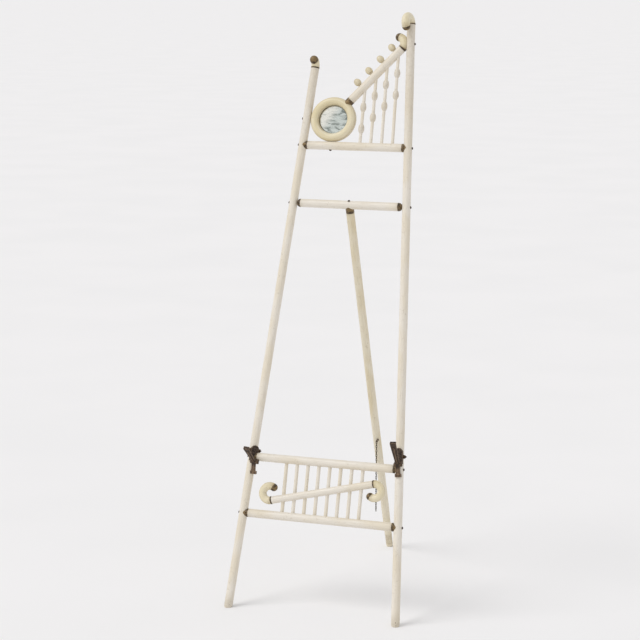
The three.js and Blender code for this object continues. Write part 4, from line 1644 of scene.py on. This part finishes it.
@dataclass
class RearLeg:
    """The rail that swings between the uprights, the leg under it, and the chain's screw eye."""

    foot_depth: float = 679.0
    taper: float = 130.0
    foot_radius: float = 9.8
    groove: float = 15.0
    rail_trim: float = 10.4
    trim_drop: float = 21.5
    screw_length: float = 54.0
    eye_drop: float = 730.0
    eye_turn: float = math.radians(13)
    eye_wire: float = 1.25
    eye_loop: float = 4.0
    eye_stand_off: float = 15.95
    eye_shank: float = 12.0
    eye_sweep: float = math.radians(318)
    eye_over: float = math.radians(9.6)
    eye_tilt: float = math.radians(50)

    def axis(self) -> Matrix:
        """The pivot, with z up the leg.

        Returns:
            The matrix from the leg to the room.
        """
        pivot = FRAME.matrix() @ Vector((0, 0, FRAME.pivot_rail))
        depth = FRAME.pivot_rail * math.sin(FRAME.lean)
        rise = FRAME.pivot_rail * math.cos(FRAME.lean)
        lean = math.atan2(self.foot_depth - depth, rise)
        return Matrix.Translation(pivot) @ Matrix.Rotation(lean, 4, "X")

    @property
    def length(self) -> float:
        """From the pivot to the floor, down the leg."""
        depth = FRAME.pivot_rail * math.sin(FRAME.lean)
        return math.hypot(self.foot_depth - depth, FRAME.pivot_rail * math.cos(FRAME.lean))

    def pivot_rail(self) -> Shape:
        """The swinging rail, rounded at both ends.

        Returns:
            The rail where it stands.
        """
        reach = FRAME.upright_x(FRAME.pivot_rail) - FRAME.face - 0.5
        r, tip = FRAME.dowel, 9.0
        bulge = [(0, 0), (2.4, 0.0), (r - 6.4, 0), (r - 3.2, 1.6), (r - 1, 4.6), (r - 0.2, 7.2)]
        bulge += [(r, tip)]
        start = filled(eased(bulge, 1.6, 8), 1.4)
        body = filled([(r, tip), (r, 2 * reach - tip)], 9.0)[1:-1]
        end = [(radius, 2 * reach - z) for radius, z in reversed(start)]
        shape = turned(start + body + end, 44, uneven=0.06)
        bands = [(-9, self.rail_trim), (2 * reach - self.rail_trim, 2 * reach + 9)]
        shape = shape.trimmed(bands).rubbed(bands, 9)
        place = standing(Vector((-reach, 0, FRAME.pivot_rail)), ACROSS, BACK)
        return shape.placed(FRAME.matrix() @ place)

    def leg(self) -> Shape:
        """The leg: coped under the rail, tapered and grooved above its foot.

        Returns:
            The leg where it stands.
        """
        r, foot, length, groove = FRAME.dowel, self.foot_radius, self.length, self.groove
        tip = [
            (0, -length), (5, -length), (foot - 2.1, -length), (foot - 1.5, 1.2 - length),
            (foot - 0.3, 6 - length), (foot - 0.05, 9 - length), (foot, groove - 1.6 - length),
        ]
        sunk = ((0.55, -0.8), (0.9, 0.0), (0.55, 0.8), (0.0, 1.6))
        cut = [(foot - depth, groove + rise - length) for depth, rise in sunk]
        taper = filled([(foot, groove + 1.7 - length), (r, self.taper - length)], 7.0)
        body = filled([(r, self.taper - length), (r, -34)], 9.0)[1:]
        top = [(r, -z) for z in (30, 26, 24, 22.5, 21.5, 20.5, 18, 15, 11, 7, 4, 2, 0.7, 0)]
        foot_end = filled(tip, 2.5)[:-1] + tip[-1:] + cut
        shape = turned(
            foot_end + taper + body + top + coped_face(r)[::-1], 44,
            start=level_cut(self.axis()), end=self.cope, zone=6.0, uneven=HAND_WORK,
        )
        line = groove - length
        # The band at the groove darkens it toward the grime colour.
        bands = [(line - 1.5, line + 1.5), (line + 6, 44 - length), (-self.trim_drop, 9)]
        shape = shape.trimmed([(-self.trim_drop, 20)]).rubbed(bands, 6)
        return shape.placed(self.axis())

    def cope(self, x: np.ndarray, y: np.ndarray) -> np.ndarray:
        """Height of the saddle under the swinging rail; y is fore and aft."""
        return -np.sqrt(FRAME.fit**2 - np.minimum(y * y, FRAME.fit**2)) + 0 * x

    def tilted_eye(self) -> Matrix:
        """The eye as it was driven: a little round the leg, its loop turned on the shank.

        Returns:
            The place of the shank where it enters the leg.
        """
        lower = Matrix.Translation((0, 0, -self.eye_drop))
        turn = Matrix.Rotation(self.eye_turn + self.eye_over, 4, "Z")
        return self.axis() @ lower @ turn @ Matrix.Rotation(self.eye_tilt, 4, "Y")

    def hanging_point(self) -> tuple[Vector, Vector]:
        """The loop's lowest point, and the level way that its wire runs there.

        Returns:
            The point and the way.
        """
        place = self.tilted_eye()
        centre = place @ Vector((0, -self.eye_stand_off, 0))
        plane = (place.to_3x3() @ ACROSS).normalized()
        level = plane.cross(ALONG).normalized()
        down = level.cross(plane)
        down = down if down.z < 0 else -down
        return centre + down * self.eye_loop, level

    def eye(self) -> Shape:
        """A shank into the leg and a loop that nearly closes on it.

        Returns:
            The eye where it stands.
        """
        shank = np.linspace(self.eye_shank, self.eye_loop - self.eye_stand_off, 10)
        straight = [(0.0, y, 0.0) for y in shank]
        loop = [
            (0.0, -self.eye_stand_off + self.eye_loop * math.cos(t), self.eye_loop * math.sin(t))
            for t in np.linspace(0, self.eye_sweep, 30)[1:]
        ]
        return swept(np.array(straight[:-1] + loop), self.eye_wire, 14).placed(self.tilted_eye())

    def build(self) -> None:
        """Makes the rail, the leg, its screw and the chain's eye."""
        body = Body.REAR_LEG
        fitted(self.pivot_rail(), "pivot_rail", IVORY, body)
        fitted(self.leg(), "rear_leg", LEG, body)
        screw = RoundHeadScrew()
        head = Vector((0, 0, FRAME.dowel + screw.stand_off))
        screw.driven("rear_leg_screw", head, -ALONG, self.screw_length, body, self.axis())
        fitted(self.eye(), "chain_eye", IRON, body)


@dataclass
class StayChain:
    """Plain oval-link chain that hangs free from the rear leg's eye."""

    leg: RearLeg
    length: float = 201.0
    width: float = 4.6
    wire: float = 0.7
    link_pitch: float = 6.4
    slack: float = 0.1
    sway: float = math.radians(1.2)

    def link(self, outer: float) -> Shape:
        """One oval link, upright in the x-z plane round its middle.

        Args:
            outer: Length of the link over all.

        Returns:
            The link.
        """
        half = self.width / 2 - self.wire
        rise = outer / 2 - self.wire - half
        turns = np.linspace(0, math.pi, 10)
        upper = [(half * math.cos(t), 0.0, rise + half * math.sin(t)) for t in turns]
        lower = [(-x, 0.0, -z) for x, _, z in upper]
        return swept(np.array(upper + lower), self.wire, 10, closed=True)

    def build(self) -> None:
        low, high = (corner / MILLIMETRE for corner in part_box("stay_chain"))
        centre = (low + high) / 2
        hook, level = self.leg.hanging_point()
        log.info("chain hangs %.2f mm from the loop's lowest point", (hook.xy - centre.xy).length)
        top = hook.z + self.leg.eye_wire + 2 * self.wire
        bottom = low.z
        total = top - bottom
        outer = self.link_pitch + 4 * self.wire + self.slack
        count = round((total - outer) / self.link_pitch) + 1
        pitch = (total - outer) / (count - 1)
        plane = level.cross(ALONG)
        heading = math.atan2(plane.y, plane.x)
        links = []
        for index in range(count):
            sway = ((index * 37) % 11 - 5) * self.sway
            turn = heading + (math.pi / 2 if index % 2 else 0) + sway
            height = top - outer / 2 - pitch * index
            shift = Matrix.Translation((centre.x, centre.y, height))
            links.append(self.link(outer).placed(shift @ Matrix.Rotation(turn, 4, "Z")))
        shape = links[0].joined(*links[1:])
        shape.straight = shape.points.copy()
        chain = fitted(shape, "stay_chain", LINKS, Body.CHAIN)


def read_back(
    items: bpy.types.bpy_prop_collection, key: str, kind: type, size: int = 3
) -> np.ndarray:
    """One property of every item of a mesh, as one long array.

    Args:
        items: Points or edges of a mesh.
        key: Name of the property.
        kind: Kind of number.
        size: How many numbers each item has.

    Returns:
        The numbers, item after item.
    """
    values = np.zeros(len(items) * size, kind)
    items.foreach_get(key, values)
    return values


def gathered(values: np.ndarray, edges: np.ndarray) -> np.ndarray:
    """Sum of the values of each point's neighbours.

    Args:
        values: A value or a row of values for each point.
        edges: Pairs of neighbours.

    Returns:
        The sum for each point.
    """
    total = np.zeros(values.shape)
    for here, there in ((0, 1), (1, 0)):
        np.add.at(total, edges[:, here], values[edges[:, there]])
    return total


@dataclass
class PictureRest:
    """A cast saddle plate on an upright, and the hinged arm that a picture stands on."""

    side: Side
    hinge_height: float
    saddle_turn: float
    arm_turn: float
    bolt_rise: float
    hinge_stand_off: float = 19.9
    bolt_stand_off: float = 7.0
    bolt: float = 2.4
    boss_face: float = 11.3
    lug_outer: float = 9.8
    pin: float = 2.0
    pin_head: float = 3.2
    bolt_head: float = 4.6
    nut: float = 5.2
    nut_height: float = 4.6
    thread_pitch: float = 0.55
    grain: float = 0.42
    merge: float = 0.01
    full_wear: float = 0.035
    arris: float = math.radians(60)

    def rest(self) -> Matrix:
        """The rest's height on the upright's axis."""
        shift = Matrix.Translation((0, 0, self.hinge_height / math.cos(FRAME.splay)))
        return FRAME.upright_axis(self.side) @ shift

    def saddle(self) -> Matrix:
        """The saddle plate's place."""
        return self.rest() @ Matrix.Rotation(self.saddle_turn, 4, "Z")

    def hinge(self) -> Matrix:
        """The hinge pin's place, with x along the pin.

        Returns:
            The place of the pin.
        """
        shift = Matrix.Translation((0, -self.hinge_stand_off, 0))
        turn = Matrix.Rotation(self.arm_turn - self.saddle_turn, 4, "Z")
        return self.saddle() @ shift @ turn

    def moulded(self, node: str) -> bpy.types.Mesh:
        """A fine cast skin over one CAD solid, with every arris softened.

        Args:
            node: The CAD node.

        Returns:
            The new mesh, in metres.
        """
        source = bpy.data.objects.new("casting", bpy.data.objects[node].data.copy())
        bpy.context.scene.collection.objects.link(source)
        weld = source.modifiers.new("weld", "WELD")
        weld.merge_threshold = self.merge * MILLIMETRE
        mould = source.modifiers.new("mould", "REMESH")
        mould.mode = "VOXEL"
        mould.voxel_size = self.grain * MILLIMETRE
        fettle = source.modifiers.new("fettle", "SMOOTH")
        fettle.factor, fettle.iterations = 0.5, 7
        graph = bpy.context.evaluated_depsgraph_get()
        mesh = bpy.data.meshes.new_from_object(source.evaluated_get(graph))
        bpy.data.objects.remove(source)
        return mesh

    def bulge(self, points: np.ndarray, normals: np.ndarray, edges: np.ndarray) -> np.ndarray:
        """How far each point stands proud of its neighbours, evened out.

        Args:
            points: Place of each point.
            normals: Normal at each point.
            edges: Pairs of neighbours.

        Returns:
            Height above the neighbours, in millimetres.
        """
        neighbours = np.maximum(gathered(np.ones(len(points)), edges), 1)
        middle = gathered(points, edges) / neighbours[:, None]
        proud = ((points - middle) * normals).sum(1)
        for _ in range(3):
            proud = 0.5 * proud + 0.5 * gathered(proud, edges) / neighbours
        return proud

    def cast(self, node: str, body: Body) -> None:
        """Makes a plate or arm and rubs it where hands wear it.

        Args:
            node: The CAD node.
            body: The body that it rides on.
        """
        mesh = self.moulded(node)
        points = read_back(mesh.vertices, "co", float).reshape(-1, 3) / MILLIMETRE
        normals = read_back(mesh.vertices, "normal", float).reshape(-1, 3)
        edges = read_back(mesh.edges, "vertices", np.int64, 2).reshape(-1, 2)
        inverse = self.hinge().inverted()
        local = points @ np.array(inverse.to_3x3()).T + np.array(inverse.translation)
        wear = np.clip(self.bulge(points, normals, edges) / self.full_wear, 0, 1)
        reach = np.hypot(local[:, 1], local[:, 2])
        band = np.clip(1.6 - np.abs(local[:, 0]) / 2.2, 0, 1) * (reach > 7)
        tail = np.clip((-local[:, 2] - 7) / 5, 0, 1) if node.endswith("arm") else 0.0
        wear = np.clip(0.8 * wear + 0.22 * band + 0.34 * tail, 0, 1)
        faces = [tuple(face.vertices) for face in mesh.polygons]
        shape = Shape(points, faces, local, np.full(len(points), FAR_FROM_TRIM), wear)
        fitted(shape, node, BRONZE, body, self.arris)

    def turned_across(self, profile: Profile) -> Shape:
        """A piece turned round the x axis."""
        return turned(profile, STICK_SIDES).placed(Matrix.Rotation(math.pi / 2, 4, "Y"))

    def hinge_pin(self) -> Shape:
        """The hinge pin, with a low dome at both ends.

        Returns:
            The pin where it stands.
        """
        face, head = self.lug_outer + FIT_GAP, self.pin_head
        dome = [(0, -1.6), (head * 0.5, -1.5), (head * 0.85, -0.95), (head, -0.1)]
        half = [(radius, -face + z) for radius, z in dome]
        half += [(head, -face), (self.pin, -face), (self.pin, -face + 0.4)]
        profile = filled([*half, *[(r, -z) for r, z in reversed(half)]], 2.0)
        return self.turned_across(profile).placed(self.hinge())

    def saddle_bolt(self, face: float) -> Shape:
        """The bolt through the saddle, with its round head at one face and its threads shown.

        Args:
            face: Distance of the bearing faces from the middle.

        Returns:
            The bolt, running along x.
        """
        head, thread = self.bolt_head, self.bolt
        tip = face + self.nut_height
        round_head = [
            (0, -face - 2.4), (head * 0.35, -face - 2.35), (head * 0.7, -face - 1.9),
            (head * 0.93, -face - 1.0), (head, -face), (thread, -face),
        ]
        threads: Profile = []
        for turn in range(7):
            z = tip - 2.2 + turn * self.thread_pitch
            threads += [(thread - 0.02, z), (thread - 0.3, z + self.thread_pitch / 2)]
        point = [(thread - 0.3, tip + 1.75), (thread * 0.45, tip + 3.6), (0, tip + 4.2)]
        return self.turned_across([*round_head, (thread, tip - 2.4), *threads, *point])

    def hexagon_nut(self, face: float) -> Shape:
        """The six-sided nut, chamfered on its outer side.

        Args:
            face: Distance of its bearing face from the middle.

        Returns:
            The nut, running along x.
        """
        sides, outer, bore = 48, self.nut, self.bolt + 0.15
        flat = outer * math.cos(math.pi / 6) / facets(6, sides)
        chamfered = np.minimum(flat, outer * 0.9)
        outline = ((bore, 0.0), (flat, 0.0), (flat, 3.9), (chamfered, 4.6), (bore, 4.6))
        rows = [level_row(reach, face + height, sides) for reach, height in outline]
        return skinned(rows, closed=True).placed(Matrix.Rotation(math.pi / 2, 4, "Y"))

    def fastenings(self) -> None:
        """Makes the hinge pin, the bolt and its nut."""
        word, face = self.side.word, self.boss_face + FIT_GAP
        fitted(self.hinge_pin(), f"{word}_rest_pin", IRON)
        place = self.saddle() @ Matrix.Translation((0, -self.bolt_stand_off, self.bolt_rise))
        fitted(self.saddle_bolt(face).placed(place), f"{word}_rest_bolt", IRON)
        nut = self.hexagon_nut(face).placed(place)
        fitted(nut, f"{word}_rest_nut", IRON, crease=math.radians(25))

    def build(self) -> None:
        """Makes the plate, arm and fastenings of one rest."""
        word = self.side.word
        self.cast(f"{word}_rest_plate", Body.FRAME)
        self.cast(f"{word}_rest_arm", Body(f"{word}_rest"))
        self.fastenings()


# ---------------------------------------------------------------------------------------------
# Studio
# ---------------------------------------------------------------------------------------------


@dataclass
class Studio:
    """Camera, pale floor and soft light."""

    position: Vector = field(default_factory=lambda: Vector((1.63189, -4.86370, 1.61536)))
    yaw: float = math.radians(19.5636)
    dip: float = math.radians(9.8722)
    roll: float = math.radians(0.1657)
    lens: float = 109.077
    sensor: float = 36.0
    sight: float = 2000.0
    floor_half: float = 320.0
    floor_tone: Colour = tone(246, 245, 245)
    horizon: Colour = tone(238, 238, 238)
    zenith: Colour = tone(200, 200, 202)
    key_strength: float = 1.15
    key_angle: float = math.radians(32)
    key_colour: Colour = (1.0, 0.99, 0.975)
    key_way: Vector = field(default_factory=lambda: Vector((0.506, 0.396, -0.766)))

    def camera(self) -> None:
        """Sets the camera at the viewer's place."""
        back = Vector((
            math.sin(self.yaw) * math.cos(self.dip), -math.cos(self.yaw) * math.cos(self.dip),
            math.sin(self.dip),
        ))
        right = Vector((math.cos(self.yaw), math.sin(self.yaw), 0))
        up = back.cross(right)
        across = right * math.cos(self.roll) + up * math.sin(self.roll)
        upward = up * math.cos(self.roll) - right * math.sin(self.roll)
        data = bpy.data.cameras.new("camera")
        data.lens, data.sensor_width, data.clip_end = self.lens, self.sensor, self.sight
        camera = bpy.data.objects.new("camera", data)
        camera.matrix_world = from_axes(across, upward, back, self.position)
        bpy.context.scene.collection.objects.link(camera)
        bpy.context.scene.camera = camera

    def floor(self) -> None:
        """Lays the floor."""
        r = Recipe("pale floor")
        place = r.tree.nodes.new("ShaderNodeTexCoord").outputs["Object"]
        cloud = r.noise(place, 1.5, 2)
        colour = r.blend(r.step(cloud, 0.3, 0.7, (0.0, 0.25)), self.floor_tone, self.horizon)
        material = r.surface(colour=colour, roughness=0.95, specular=0.1)
        h = self.floor_half
        mesh = bpy.data.meshes.new("floor")
        mesh.from_pydata([(-h, -h, 0), (h, -h, 0), (h, h, 0), (-h, h, 0)], [], [(0, 1, 2, 3)])
        mesh.materials.append(material)
        floor = bpy.data.objects.new("floor", mesh)
        bpy.context.scene.collection.objects.link(floor)
        floor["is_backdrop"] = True

    def light(self) -> None:
        """Hangs a soft key from the upper left under an even pale sky."""
        world = bpy.data.worlds.new("studio")
        bpy.context.scene.world = world
        world.use_nodes = True
        tree = world.node_tree
        ground = tree.nodes["Background"]
        place = tree.nodes.new("ShaderNodeTexCoord").outputs["Generated"]
        split = tree.nodes.new("ShaderNodeSeparateXYZ")
        ramp = tree.nodes.new("ShaderNodeMapRange")
        mix = tree.nodes.new("ShaderNodeMix")
        mix.data_type = "RGBA"
        mix.inputs[MIX_BELOW].default_value = (*self.horizon, 1)
        mix.inputs[MIX_ABOVE].default_value = (*self.zenith, 1)
        tree.links.new(place, split.inputs[0])
        tree.links.new(split.outputs[2], ramp.inputs["Value"])
        tree.links.new(ramp.outputs[0], mix.inputs[MIX_SHARE])
        tree.links.new(mix.outputs[MIX_RESULT], ground.inputs["Color"])
        key = bpy.data.lights.new("key", "SUN")
        key.energy, key.angle, key.color = self.key_strength, self.key_angle, self.key_colour
        lamp = bpy.data.objects.new("key", key)
        lamp.rotation_euler = self.key_way.to_track_quat("-Z", "Y").to_euler()
        bpy.context.scene.collection.objects.link(lamp)

    def build(self) -> None:
        """Sets the whole studio."""
        self.camera()
        self.floor()
        self.light()
        bpy.context.scene.view_settings.view_transform = "Standard"


def as_lists(bounds: Sequence[Sequence[float]]) -> list[list[float]]:
    """Box corners as plain lists of numbers."""
    return [[float(value) for value in corner] for corner in bounds]


def main() -> list[list[float]]:
    """Builds every sub-assembly in order.

    Returns:
        The box of the CAD model, as two corners.
    """
    logging.basicConfig(level=logging.INFO, format="%(message)s")
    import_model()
    cad_box = as_lists(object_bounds())
    Studio().build()
    leg = RearLeg()
    StayChain(leg).build()
    Uprights().build()
    CrossRails().build()
    mirror = RoundMirror()
    mirror.build()
    UpperFan(mirror).build()
    LowerGallery().build()
    FrameScrews(mirror).build()
    leg.build()
    PictureRest(
        Side.LEFT, hinge_height=384.8, saddle_turn=math.radians(40), arm_turn=0.0, bolt_rise=30.0
    ).build()
    PictureRest(
        Side.RIGHT, hinge_height=409.7, saddle_turn=math.radians(3), arm_turn=math.radians(3),
        bolt_rise=20.5,
    ).build()
    return cad_box


if __name__ == "__main__":
    cad_bounds = main()
